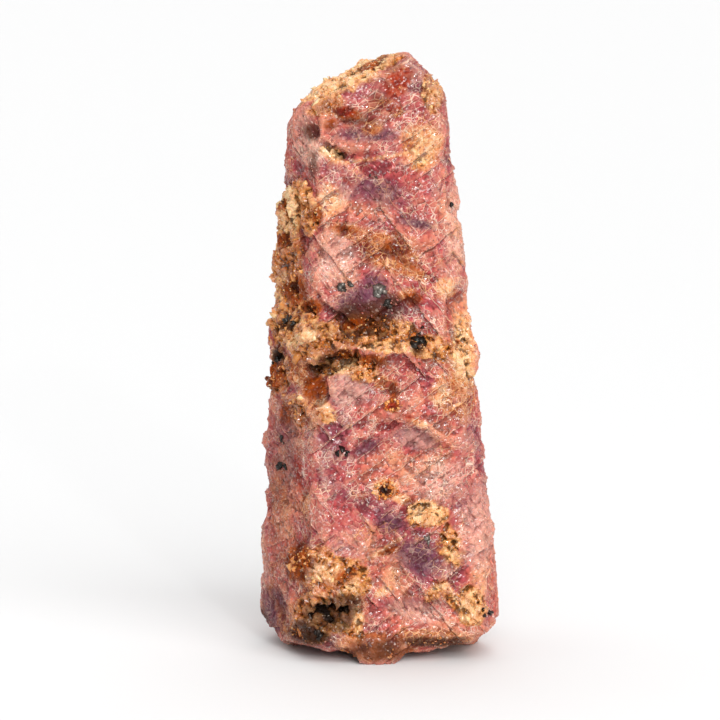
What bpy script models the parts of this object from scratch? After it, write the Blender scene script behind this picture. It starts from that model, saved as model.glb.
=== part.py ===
"""Rough ruby: one tapering six-sided crystal, standing on the flat parting face at its foot.

The stone is a single piece. Six flanks and a broken top are planes that close round an upright
core line. Rays from that line find the planes, and then ledges, hollows, lumps and chips push
the surface out or in along the rays, so that the skin never crosses itself.

Lengths are millimetres until the mesh is made. +Z is up, and the side seen in front faces -Y.
A bearing is the direction round the axis: 0 is the front, 90 the viewer's right, 180 the back.
"""

import math
from dataclasses import dataclass

import bmesh
import bpy
import numpy as np
from mathutils import Vector, noise

METRES = 0.001

# Driving sizes
HEIGHT = 47.4
FOOT_DEPTH = 14.6
VIEW_TILT = math.radians(8.0)
EDGE_ROUNDING = 0.14
CORE_FOOT = np.array((0.2, 0.0, 9.0))
CORE_TOP = np.array((-0.6, 0.0, 39.0))
END_ARC = 10.0

# Relief, as pairs of how wide the swells of the noise are and how far they push
WHOLE_STONE = ((7.0, 0.30), (2.8, 0.12))
CRUST_GRAIN = ((1.5, 0.34), (0.8, 0.16))
CRUST_THICKNESS = 0.1
RAGGED_RIM = ((1.7, 0.28), (0.8, 0.22))
LEDGE_WANDER = ((3.4, 0.8), (1.3, 0.4))
LEDGE_STEP = 0.22

# Parting blocks, as pairs of how wide they are and how far they lean
BLOCKS = ((3.0, 0.11), (1.7, 0.07))
BLOCK_WANDER = ((2.2, 0.3),)
BLOCKS_UNDER_CRUST = 0.4
CELL_SHUFFLE = 31.0

# How a swell or a patch ends: a steep hollow's flat floor, a patch's rim, and how deep it reaches
STEEP_FLOOR = 0.55
PATCH_RIM = (0.75, 1.15)
LEAST_DEPTH = 2.0
NOISE_GAP = 19.0

# Fineness of the skin
COLUMNS = 168
ROWS = 216
MOST_TRIANGLES = 9400

STONE_COLOUR = (0.47, 0.17, 0.16, 1.0)
STONE_ROUGHNESS = 0.55


@dataclass(frozen=True)
class Plane:
    """A face of the crystal: the direction it looks in, and a point that it passes through."""

    bearing: float
    pitch: float
    through: tuple

    @property
    def normal(self):
        return direction(self.bearing, self.pitch)

    @property
    def offset(self):
        return float(self.normal @ np.array(self.through))


@dataclass(frozen=True)
class Chip:
    """A small flat break that takes an edge off over an ellipse round its middle."""

    plane: Plane
    half_width: float
    half_height: float


@dataclass(frozen=True)
class Swell:
    """A rounded change of the surface round a spot: a lump if rise is above 0, or a hollow."""

    spot: np.ndarray
    half_width: float
    half_height: float
    rise: float
    turn: float = 0.0
    steep: bool = False


@dataclass(frozen=True)
class Ledge:
    """The broken lower edge of a growth plate, which stands out over what is below it.

    Each of its points is a bearing, a height and how far the plate stands out there.
    """

    points: tuple
    reach: float


def direction(bearing, pitch):
    """The unit vector that looks along a bearing, pitch degrees above the horizon."""
    b, p = math.radians(bearing), math.radians(pitch)
    return np.array((math.sin(b) * math.cos(p), -math.cos(b) * math.cos(p), math.sin(p)))


def smooth(low, high, value):
    """0 below low, 1 above high, and an S-curve between them. low may be above high."""
    share = np.clip((value - low) / (high - low), 0.0, 1.0)
    return share * share * (3.0 - 2.0 * share)


def flank(bearing, distance, taper):
    """A side of the prism, that far from the axis at the foot, leaning inwards by taper degrees."""
    foot = direction(bearing, 0.0) * distance
    return Plane(bearing, taper, tuple(foot))


FRONT_DISTANCE = 0.49 * FOOT_DEPTH
BACK_DISTANCE = 0.52 * FOOT_DEPTH
FLANKS = (
    flank(4.0, FRONT_DISTANCE, 3.5),
    flank(66.0, 10.7, 6.45),
    flank(115.0, 8.1, 5.65),
    flank(182.0, BACK_DISTANCE, 3.5),
    flank(-118.0, 9.2, 2.75),
    flank(-62.0, 8.05, 1.85),
)
TOP_BREAKS = (
    Plane(-65.0, 63.0, (1.3, 0.0, HEIGHT)),
    Plane(-83.0, 36.0, (-6.2, 0.0, HEIGHT - 4.1)),
    Plane(82.0, 42.0, (3.2, 0.0, HEIGHT - 0.5)),
    Plane(169.0, 62.0, (1.0, 1.5, HEIGHT + 0.1)),
    Plane(-4.0, 17.0, (0.0, -5.0, HEIGHT - 7.2)),
    Plane(-152.0, 33.0, (-4.0, 3.4, HEIGHT - 3.8)),
    Plane(124.0, 36.0, (4.2, 2.2, HEIGHT - 3.2)),
)
UNDERSIDE = Plane(0.0, -90.0, (0.0, 0.0, -1.0))
FACES = (*FLANKS, *TOP_BREAKS, UNDERSIDE)


def to_faces(origins, rays):
    """How far each ray runs from its origin to the planes, with the edges a little rounded."""
    normals = np.array([face.normal for face in FACES])
    offsets = np.array([face.offset for face in FACES])
    facing = rays @ normals.T
    gaps = offsets - origins @ normals.T
    runs = np.where(facing > 1e-6, gaps / np.maximum(facing, 1e-6), 1e6)
    nearest = runs.min(axis=1, keepdims=True)
    soft = np.exp(-(runs - nearest) / EDGE_ROUNDING).sum(axis=1, keepdims=True)
    return (nearest - EDGE_ROUNDING * np.log(soft))[:, 0]


def seen(across, up):
    """The spot on the front that is seen this far right of the axis and this far above the foot.

    The view looks down on the stone by VIEW_TILT.
    """
    away = np.array((0.0, math.cos(VIEW_TILT), -math.sin(VIEW_TILT)))
    start = np.array((across, 0.0, up / math.cos(VIEW_TILT)))
    run = max(
        (face.offset - face.normal @ start) / (face.normal @ away)
        for face in (*FLANKS, *TOP_BREAKS)
        if face.normal @ away < -0.02
    )
    return start + run * away


def around(bearing, height):
    """The spot on the surface at this bearing and height."""
    start = np.array((0.0, 0.0, height))
    ray = direction(bearing, 0.0)
    return start + to_faces(start[None], ray[None])[0] * ray


def bearing_of(points):
    return np.degrees(np.arctan2(points[:, 0], -points[:, 1]))


def chip(spot, bearing, pitch, depth, half_width, half_height):
    """A break whose plane lies depth under the surface at the spot."""
    through = spot - direction(bearing, pitch) * depth
    return Chip(Plane(bearing, pitch, tuple(through)), half_width, half_height)


def seen_ledge(reach, *points):
    """A ledge whose points are (across, up, how far it stands out), as seen in front."""
    spots = [seen(across, up) for across, up, _ in points]
    bearings = bearing_of(np.array(spots))
    return Ledge(
        tuple((b, spot[2], point[2]) for b, spot, point in zip(bearings, spots, points)), reach
    )


def ledges():
    """The plate edges, from the top of the front down, and then round the back."""
    return (
        seen_ledge(4.0, (-5.3, 40.3, 0.0), (-4.5, 39.9, 0.5), (-2.5, 38.7, 0.6), (-0.6, 39.3, 0.25),
                   (1.4, 38.6, 0.2), (3.0, 39.2, 0.3), (4.7, 38.8, 0.4), (5.4, 39.4, 0.0)),
        seen_ledge(5.0, (-5.4, 28.8, 0.0), (-4.6, 28.3, 0.5), (-3.5, 27.3, 0.95), (-1.4, 25.8, 1.2),
                   (0.2, 26.9, 0.95), (2.0, 27.9, 0.5), (3.6, 28.6, 0.0)),
        seen_ledge(2.6, (-8.2, 25.2, 0.0), (-7.0, 24.4, 0.6), (-5.6, 23.7, 0.9), (-4.2, 24.4, 0.9),
                   (-2.7, 23.6, 0.9), (-1.5, 24.0, 0.55), (0.1, 22.8, 0.6), (1.5, 23.5, 0.3),
                   (2.8, 22.9, 0.4), (4.4, 24.2, 0.25), (5.6, 24.6, 0.0)),
        seen_ledge(3.0, (-8.6, 21.6, 0.0), (-7.5, 20.4, 0.35), (-6.0, 19.0, 0.4), (-5.0, 18.5, 0.3),
                   (-4.2, 18.4, 0.0)),
        seen_ledge(4.5, (-3.7, 14.9, 0.0), (-2.7, 15.6, 0.3), (-0.7, 17.0, 0.5), (1.2, 17.9, 0.55),
                   (2.8, 17.9, 0.55), (4.9, 16.6, 0.5), (6.4, 15.9, 0.0)),
        seen_ledge(2.5, (-0.6, 6.8, 0.0), (0.2, 6.9, 0.25), (2.2, 7.1, 0.3), (2.5, 8.0, 0.3),
                   (4.0, 7.6, 0.2), (5.4, 6.9, 0.0)),
        seen_ledge(3.0, (2.6, 4.6, 0.0), (3.9, 4.3, 0.4), (5.4, 5.0, 0.6), (6.9, 2.9, 0.45),
                   (7.6, 1.8, 0.0)),
        Ledge(((92.0, 34.6, 0.0), (108.0, 33.2, 0.5), (132.0, 31.4, 0.7), (158.0, 32.4, 0.5),
               (184.0, 34.0, 0.0)), 6.0),
        Ledge(((188.0, 22.4, 0.0), (206.0, 21.2, 0.6), (230.0, 19.4, 0.8), (254.0, 20.6, 0.5),
               (276.0, 22.4, 0.0)), 6.0),
        Ledge(((68.0, 14.4, 0.0), (92.0, 12.8, 0.5), (118.0, 13.6, 0.6), (150.0, 11.6, 0.6),
               (178.0, 12.6, 0.0)), 5.0),
        Ledge(((184.0, 40.6, 0.0), (208.0, 39.4, 0.5), (236.0, 39.9, 0.4), (258.0, 41.0, 0.0)), 4.0),
        Ledge(((192.0, 8.6, 0.0), (216.0, 7.4, 0.4), (246.0, 8.3, 0.5), (272.0, 7.8, 0.0)), 4.0),
        Ledge(((140.0, 24.0, 0.0), (158.0, 22.6, 0.4), (176.0, 24.2, 0.5), (196.0, 26.0, 0.0)), 4.5),
    )


def hollows():
    """The cavities, pits and grooves. The deep ones have steep walls."""
    return (
        Swell(seen(-4.2, 22.5), 2.9, 0.95, -2.3, turn=22.0, steep=True),
        Swell(seen(-5.1, 20.6), 1.0, 1.5, -1.3, turn=12.0, steep=True),
        Swell(seen(0.5, 12.55), 0.72, 0.56, -0.7, steep=True),
        Swell(seen(-4.4, 2.7), 1.8, 0.9, -2.9, turn=8.0, steep=True),
        Swell(seen(-6.7, 28.6), 1.2, 1.8, -0.9),
        Swell(seen(-5.3, 26.9), 1.1, 0.7, -0.8),
        Swell(seen(-3.4, 39.2), 1.5, 0.4, -0.5, turn=-28.0),
        Swell(seen(-7.4, 36.9), 1.5, 0.8, -0.9),
        Swell(seen(-5.3, 41.1), 0.8, 1.5, -0.7, turn=10.0),
        Swell(seen(-2.9, 42.2), 1.2, 0.6, -0.35),
        Swell(seen(1.1, 19.2), 0.5, 0.45, -0.4, steep=True),
        Swell(seen(2.2, 18.6), 0.6, 0.3, -0.3, turn=-15.0),
        Swell(seen(0.6, 24.9), 4.4, 1.3, -0.5),
        Swell(seen(4.6, 29.4), 1.0, 0.5, -0.35, turn=-20.0),
        Swell(seen(-7.2, 33.0), 0.9, 0.7, -0.6),
        Swell(seen(4.4, 3.6), 1.3, 0.8, -0.3),
        Swell(around(128.0, 27.0), 2.6, 1.1, -0.9, turn=-18.0),
        Swell(around(-148.0, 14.4), 2.2, 1.2, -0.9, turn=24.0),
        Swell(around(-162.0, 15.2), 1.5, 0.7, -0.6, turn=-12.0),
        Swell(around(172.0, 36.2), 1.6, 1.2, -0.8),
        Swell(around(158.0, 6.0), 2.6, 1.4, -1.0, turn=10.0),
        Swell(around(-100.0, 30.4), 1.1, 1.9, -0.7),
        Swell(around(96.0, 20.6), 1.3, 1.7, -0.7),
        Swell(around(-172.0, 29.0), 2.4, 1.0, -0.7, turn=-30.0),
        Swell(around(-118.0, 5.0), 1.6, 1.0, -1.0),
    )


def lumps():
    """The swellings of crust and the rounded shoulders, from the top of the front down."""
    return (
        Swell(seen(4.2, 45.4), 1.2, 1.2, 0.6),
        Swell(seen(-6.4, 41.8), 1.3, 2.3, 0.5),
        Swell(seen(3.9, 40.3), 1.7, 1.9, 0.3),
        Swell(seen(-6.3, 35.0), 0.42, 2.8, 0.7),
        Swell(seen(-7.6, 34.6), 1.1, 1.1, 0.5),
        Swell(seen(-7.9, 30.9), 1.0, 1.5, 0.4),
        Swell(seen(-8.1, 26.4), 1.1, 1.4, 0.35),
        Swell(seen(-5.3, 25.2), 2.3, 0.9, 0.5),
        Swell(seen(1.6, 23.8), 2.9, 0.8, 0.45),
        Swell(seen(7.2, 23.6), 1.8, 2.6, 0.8),
        Swell(seen(6.2, 35.6), 1.4, 1.8, 0.35),
        Swell(seen(-4.6, 18.1), 1.2, 0.6, 0.35),
        Swell(seen(-1.6, 20.9), 1.9, 1.0, 0.25),
        Swell(seen(0.5, 12.55), 1.2, 1.0, 0.22),
        Swell(seen(3.8, 10.6), 1.9, 1.1, 0.3),
        Swell(seen(-4.6, 6.3), 2.7, 1.0, 0.35),
        Swell(seen(-6.6, 3.6), 1.7, 1.6, 0.3),
        Swell(seen(7.7, 3.1), 1.3, 1.4, 0.35),
        Swell(seen(-0.3, 0.3), 2.3, 1.5, 0.35),
        Swell(around(-140.0, 34.6), 1.9, 2.6, 0.6),
        Swell(around(140.0, 18.0), 2.6, 1.8, 0.5),
        Swell(around(-110.0, 11.6), 1.8, 2.4, 0.5),
        Swell(around(88.0, 28.4), 1.5, 2.2, 0.45),
        Swell(around(180.0, 17.4), 1.6, 1.2, 0.4),
        Swell(around(110.0, 4.4), 2.2, 1.6, 0.5),
        Swell(around(84.0, 9.6), 2.6, 3.4, 0.55),
        Swell(around(-92.0, 14.6), 1.8, 3.4, 0.3),
    )


def chips():
    """The breaks along the upright edges and round the rim of the foot."""
    return (
        chip(seen(-5.0, 32.6), -29.0, 0.0, 0.45, 1.2, 1.9),
        chip(seen(-5.0, 11.4), -29.0, 2.0, 0.35, 1.2, 3.2),
        chip(seen(5.5, 33.6), 36.0, 4.0, 0.5, 1.2, 3.0),
        chip(seen(6.7, 26.2), 38.0, 8.0, 0.6, 1.4, 1.9),
        chip(seen(7.6, 12.6), 38.0, 4.0, 0.45, 1.3, 2.8),
        chip(around(-91.0, 38.6), -91.0, 3.0, 0.55, 2.6, 3.4),
        chip(around(-139.0, 25.6), -139.0, 0.0, 0.7, 1.8, 3.2),
        chip(around(148.0, 38.6), 148.0, 14.0, 0.7, 1.8, 2.6),
        chip(around(151.0, 27.6), 148.0, 2.0, 0.6, 1.6, 2.6),
        chip(around(-138.0, 3.4), -140.0, -24.0, 0.9, 2.4, 2.2),
        Chip(Plane(-24.0, -52.0, (-4.9, -6.9, 1.9)), 2.9, 2.4),
        Chip(Plane(18.0, -54.0, (5.2, -6.6, 1.8)), 3.3, 2.4),
        Chip(Plane(-44.0, -77.0, (-5.4, -5.2, 1.0)), 3.4, 6.0),
        Chip(Plane(42.0, -77.0, (6.0, -5.0, 1.0)), 3.6, 6.0),
        Chip(Plane(-88.0, -40.0, (-9.1, 0.4, 2.1)), 5.0, 3.0),
        Chip(Plane(78.0, -46.0, (9.2, -2.6, 2.2)), 4.6, 3.0),
        Chip(Plane(180.0, -58.0, (-0.5, 7.4, 1.1)), 7.0, 3.0),
    )


def crust_patches():
    """Where fine-grained, iron-stained crust covers the ruby. rise is how thick it is there."""
    return (
        Swell(np.array((-1.2, -0.6, 47.0)), 6.4, 3.4, 1.0, turn=24.0),
        Swell(seen(4.0, 40.2), 1.9, 2.5, 1.0),
        Swell(seen(-3.9, 39.6), 1.7, 0.9, 0.9),
        Swell(seen(-7.2, 31.2), 2.3, 6.0, 1.0),
        Swell(seen(-6.0, 23.9), 3.0, 3.6, 1.0),
        Swell(seen(0.4, 24.9), 4.9, 2.0, 1.0),
        Swell(seen(6.8, 23.6), 1.7, 4.4, 0.8),
        Swell(seen(-4.6, 19.4), 1.8, 1.9, 0.9),
        Swell(seen(3.9, 10.6), 2.0, 1.4, 0.9),
        Swell(seen(6.9, 8.9), 1.0, 2.4, 0.7),
        Swell(seen(-4.4, 6.2), 3.6, 1.7, 1.0),
        Swell(seen(-5.0, 2.2), 3.2, 2.0, 1.0),
        Swell(seen(7.7, 3.2), 1.7, 2.0, 0.9),
        Swell(around(-128.0, 33.0), 4.2, 7.0, 1.0),
        Swell(around(140.0, 18.6), 5.0, 4.6, 1.0),
        Swell(around(176.0, 38.4), 3.2, 3.0, 0.9),
        Swell(around(-120.0, 10.4), 3.6, 5.0, 1.0),
        Swell(around(112.0, 5.0), 4.2, 3.4, 1.0),
        Swell(around(178.0, 8.0), 3.4, 2.6, 0.8),
        Swell(around(92.0, 30.0), 2.0, 4.8, 0.9),
    )


def noise_at(points, layers):
    """Smooth noise at each point: the sum of the layers, given as (size, most) pairs."""
    total = np.zeros(len(points))
    for size, most in layers:
        total += most * np.array([noise.noise(Vector(point) / size) for point in points])
    return total


def wander(points, layers):
    """The points moved a little in each direction, so that what is drawn on them isn't straight."""
    shifts = [noise_at(points + axis * NOISE_GAP, layers) for axis in (1, 2, 3)]
    return points + np.column_stack(shifts)


def spread(swell, points, ragged):
    """How far each point lies from the swell's spot, as a share of its half sizes.

    ragged is noise that makes the outline uneven.
    """
    outwards = direction(bearing_of(swell.spot[None])[0], 0.0)
    side = np.cross((0.0, 0.0, 1.0), outwards)
    offset = points - swell.spot
    right, up = offset @ side, offset[:, 2]
    turn = math.radians(swell.turn)
    along = (right * math.cos(turn) + up * math.sin(turn)) / swell.half_width
    over = (up * math.cos(turn) - right * math.sin(turn)) / swell.half_height
    through = offset @ outwards / max(swell.half_width, swell.half_height, LEAST_DEPTH)
    return np.sqrt(along**2 + over**2 + through**2) * (1.0 + ragged)


def rise_of(swell, points, ragged):
    """How far a swell pushes each point out, or in where its rise is below 0."""
    flat = STEEP_FLOOR if swell.steep else 0.0
    return swell.rise * (1.0 - smooth(flat, 1.0, spread(swell, points, ragged)))


def stand_out(ledge, points):
    """How far a ledge's plate pushes each point out: most at its lower edge, and nothing below."""
    bearings, heights, depths = np.array(ledge.points).T
    middle = 0.5 * (bearings[0] + bearings[-1])
    turned = (bearing_of(points) - middle + 180.0) % 360.0 - 180.0
    edge = np.interp(turned, bearings - middle, heights)
    depth = np.interp(turned, bearings - middle, depths)
    above = points[:, 2] - edge
    fade = np.clip(1.0 - above / ledge.reach, 0.0, 1.0)
    return depth * fade * smooth(-LEDGE_STEP, LEDGE_STEP, above)


def crust_cover(points, ragged):
    """From 0 on bare ruby to 1 on full crust."""
    cover = np.zeros(len(points))
    for patch in crust_patches():
        inside = 1.0 - smooth(*PATCH_RIM, spread(patch, points, ragged))
        cover = np.maximum(cover, patch.rise * inside)
    return cover


def take_chips(origins, rays, runs):
    """The runs of the rays, shortened where a chip's plane comes first."""
    for each in chips():
        plane = each.plane
        facing = rays @ plane.normal
        gap = plane.offset - origins @ plane.normal
        met = np.where(facing > 0.05, gap / np.maximum(facing, 0.05), 1e6)
        offset = origins + rays * np.clip(met, 0.0, 60.0)[:, None] - np.array(plane.through)
        side = direction(plane.bearing + 90.0, 0.0)
        up = np.cross(plane.normal, side)
        away = np.hypot(offset @ side / each.half_width, offset @ up / each.half_height)
        retreat = np.maximum(away - 1.0, 0.0) * min(each.half_width, each.half_height)
        runs = np.where(met > 0.5, np.minimum(runs, met + retreat), runs)
    return runs


def block_relief(points):
    """Flat-topped parting blocks: each cell of the noise leans its own way."""
    relief = np.zeros(len(points))
    for size, lean in BLOCKS:
        for i, point in enumerate(wander(points, BLOCK_WANDER)):
            place = Vector(point) / size
            middle = noise.voronoi(place)[1][0]
            tilt = noise.cell_vector(middle * CELL_SHUFFLE)
            relief[i] += (place - middle).dot(tilt) * size * lean
    return relief


def rays_from_core(sphere_points):
    """The rays that carry the points of a unit sphere out: from the core line, and from its ends."""
    polar = np.arccos(np.clip(-sphere_points[:, 2], -1.0, 1.0)) / math.pi
    core = CORE_TOP[2] - CORE_FOOT[2]
    path = polar * (2.0 * END_ARC + core)
    share = np.clip((path - END_ARC) / core, 0.0, 1.0)
    origins = CORE_FOOT + share[:, None] * (CORE_TOP - CORE_FOOT)
    dip = np.minimum(path / END_ARC, 1.0) - 1.0
    lift = np.maximum((path - END_ARC - core) / END_ARC, 0.0)
    pitch = (dip + lift) * 0.5 * math.pi
    turn = np.arctan2(sphere_points[:, 1], sphere_points[:, 0])
    flat = np.cos(pitch)
    return origins, np.column_stack((np.cos(turn) * flat, np.sin(turn) * flat, np.sin(pitch)))


def skin_points(sphere_points):
    """Where the points of a unit sphere go on the stone."""
    origins, rays = rays_from_core(sphere_points)
    runs = take_chips(origins, rays, to_faces(origins, rays))
    bare = origins + rays * runs[:, None]
    ragged = noise_at(bare, RAGGED_RIM)
    ragged_ledge = wander(bare, LEDGE_WANDER)
    push = noise_at(bare, WHOLE_STONE)
    for ledge in ledges():
        push += stand_out(ledge, ragged_ledge)
    for swell in (*lumps(), *hollows()):
        push += rise_of(swell, bare, ragged)
    cover = crust_cover(bare, ragged)
    push += cover * (noise_at(bare, CRUST_GRAIN) + CRUST_THICKNESS)
    push += (1.0 - (1.0 - BLOCKS_UNDER_CRUST) * cover) * block_relief(bare)
    return bare + rays * push[:, None]


def make_skin():
    """The stone's skin as a mesh, fine enough to be thinned afterwards."""
    bm = bmesh.new()
    bmesh.ops.create_uvsphere(bm, u_segments=COLUMNS, v_segments=ROWS, radius=1.0)
    bm.verts.ensure_lookup_table()
    sphere = np.array([vertex.co for vertex in bm.verts])
    for vertex, point in zip(bm.verts, skin_points(sphere)):
        vertex.co = point * METRES
    bmesh.ops.recalc_face_normals(bm, faces=bm.faces)
    mesh = bpy.data.meshes.new("skin")
    bm.to_mesh(mesh)
    bm.free()
    return mesh


def thin(mesh):
    """The same skin with no more triangles than it needs, most of them where it is rugged."""
    helper = bpy.data.objects.new("helper", mesh)
    bpy.context.scene.collection.objects.link(helper)
    helper.modifiers.new("triangles", "TRIANGULATE")
    decimate = helper.modifiers.new("thin", "DECIMATE")
    decimate.ratio = MOST_TRIANGLES / (2.0 * COLUMNS * (ROWS - 1))
    bpy.context.view_layer.update()
    graph = bpy.context.evaluated_depsgraph_get()
    thinned = bpy.data.meshes.new_from_object(helper.evaluated_get(graph))
    bpy.data.objects.remove(helper)
    return thinned


def stand_on_foot(mesh):
    """Cuts the skin flat at the foot, closes the cut, and sets the stone upright over its middle."""
    bm = bmesh.new()
    bm.from_mesh(mesh)
    everything = [*bm.verts, *bm.edges, *bm.faces]
    down = (0.0, 0.0, -1.0)
    cut = bmesh.ops.bisect_plane(bm, geom=everything, dist=1e-7, plane_no=down, clear_outer=True)
    rim = [edge for edge in cut["geom_cut"] if isinstance(edge, bmesh.types.BMEdge)]
    bmesh.ops.triangle_fill(bm, edges=rim, normal=down, use_beauty=True)
    bmesh.ops.triangulate(bm, faces=[face for face in bm.faces if len(face.verts) > 3])
    bmesh.ops.recalc_face_normals(bm, faces=bm.faces)
    corners = np.array([vertex.co for vertex in bm.verts])
    middle = 0.5 * (corners.min(axis=0) + corners.max(axis=0))
    bmesh.ops.translate(bm, verts=bm.verts, vec=(-middle[0], -middle[1], 0.0))
    bm.to_mesh(mesh)
    bm.free()


def stone_material():
    material = bpy.data.materials.new("ruby_stone")
    material.use_nodes = True
    shader = material.node_tree.nodes["Principled BSDF"]
    shader.inputs["Base Color"].default_value = STONE_COLOUR
    shader.inputs["Roughness"].default_value = STONE_ROUGHNESS
    shader.inputs["Metallic"].default_value = 0.0
    return material


def main():
    for obj in list(bpy.data.objects):
        bpy.data.objects.remove(obj)
    collection = bpy.data.collections.new("rough_ruby")
    bpy.context.scene.collection.children.link(collection)
    mesh = thin(make_skin())
    stand_on_foot(mesh)
    mesh.name = "ruby_crystal"
    mesh.materials.append(stone_material())
    collection.objects.link(bpy.data.objects.new("ruby_crystal", mesh))


main()
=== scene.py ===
"""The looks of a rough ruby: a broken corundum crystal with iron-stained crust, on a white sweep.

The stone's skin is grown from the crystal's solid: remeshed finely, broken into parting blocks,
and strewn with crust grains, ruby shards and dark mineral grains. Colours and relief share the
same cells, so that the pale veins run along the real cracks.

Sizes in the classes are millimetres, meshes are in metres. +Z is up, and the front faces -Y.
"""

import logging
import math
from collections.abc import Callable, Iterator
from dataclasses import dataclass, field
from enum import Enum

import bmesh
import bpy
import numpy as np
from bpy.types import Light, Material, Mesh, NodeSocket as Socket, NodeTree, Object
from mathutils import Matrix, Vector
from mathutils.bvhtree import BVHTree

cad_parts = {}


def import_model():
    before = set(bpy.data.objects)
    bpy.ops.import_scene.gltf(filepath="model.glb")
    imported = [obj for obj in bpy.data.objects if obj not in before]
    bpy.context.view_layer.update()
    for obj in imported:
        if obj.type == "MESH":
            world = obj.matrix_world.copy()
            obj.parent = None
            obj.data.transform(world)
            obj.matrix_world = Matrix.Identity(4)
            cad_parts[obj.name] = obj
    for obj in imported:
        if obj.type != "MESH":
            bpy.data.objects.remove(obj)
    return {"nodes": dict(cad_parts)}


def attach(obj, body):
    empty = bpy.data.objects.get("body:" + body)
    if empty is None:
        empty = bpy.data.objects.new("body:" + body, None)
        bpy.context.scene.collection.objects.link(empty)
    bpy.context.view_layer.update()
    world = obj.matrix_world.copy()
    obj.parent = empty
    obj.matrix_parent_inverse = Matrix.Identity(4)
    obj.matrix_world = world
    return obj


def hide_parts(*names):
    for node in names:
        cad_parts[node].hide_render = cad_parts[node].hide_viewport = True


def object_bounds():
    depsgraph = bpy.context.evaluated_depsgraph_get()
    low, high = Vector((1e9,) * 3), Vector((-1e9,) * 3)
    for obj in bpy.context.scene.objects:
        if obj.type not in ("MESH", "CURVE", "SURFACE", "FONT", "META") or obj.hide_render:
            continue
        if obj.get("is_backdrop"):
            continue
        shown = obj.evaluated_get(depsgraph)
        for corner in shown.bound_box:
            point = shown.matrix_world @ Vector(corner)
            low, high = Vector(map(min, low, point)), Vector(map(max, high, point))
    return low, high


LOG = logging.getLogger("rough_ruby")
METRES = 0.001
NODE = "ruby_crystal"
BOX_MARGIN = 0.002
BOX_EASE = 0.4
# How deep light goes into a stone whose subsurface radius is 1.
DEPTH_UNIT = 0.3 * METRES

Box = tuple[Vector, Vector]
Span = tuple[float, float]
Stops = tuple[tuple[float, str], ...]
Place = tuple[float, float, float]


def linear(hex_colour: str) -> tuple[float, float, float, float]:
    """Turns an sRGB hex colour such as "#B8616A" to the linear values that a shader takes."""
    parts = [int(hex_colour[i : i + 2], 16) / 255.0 for i in (1, 3, 5)]
    red, green, blue = (c / 12.92 if c <= 0.04045 else ((c + 0.055) / 1.055) ** 2.4 for c in parts)
    return red, green, blue, 1.0


def smooth(low: float, high: float, value: np.ndarray) -> np.ndarray:
    """0 below low, 1 above high, and an S-curve between them. low may be above high."""
    share = np.clip((value - low) / (high - low), 0.0, 1.0)
    return share * share * (3.0 - 2.0 * share)


class Graph:
    """A node tree that is written one node at a time."""

    def __init__(self, tree: NodeTree) -> None:
        """Starts from an empty tree."""
        self.tree = tree
        tree.nodes.clear()

    def add(self, kind: str, inputs: dict | tuple = (), out: int | str = 0, stops: Stops = (),
            **settings: object) -> Socket | None:
        """Adds a node with its settings and links.

        Args:
            kind: the node's type, without "ShaderNode" where it starts with that.
            inputs: a value for each input, or the socket that it is linked from. They are in the
                node's own order, or under the inputs' names or numbers.
            out: name or index of the output to return.
            stops: the places on a colour ramp, each with its hex colour.
            settings: the node's own properties.

        Returns:
            The output socket, or None on a node that has no outputs.
        """
        node = self.tree.nodes.new(kind if "Node" in kind else f"ShaderNode{kind}")
        for name, value in settings.items():
            setattr(node, name, value)
        for number, (place, tint) in enumerate(stops):
            elements = node.color_ramp.elements
            element = elements[number] if number < len(elements) else elements.new(place)
            element.position, element.color = place, linear(tint)
        for key, value in inputs.items() if isinstance(inputs, dict) else enumerate(inputs):
            if isinstance(value, Socket):
                self.tree.links.new(value, node.inputs[key])
            else:
                node.inputs[key].default_value = value
        return node.outputs[out] if len(node.outputs) else None


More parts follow.
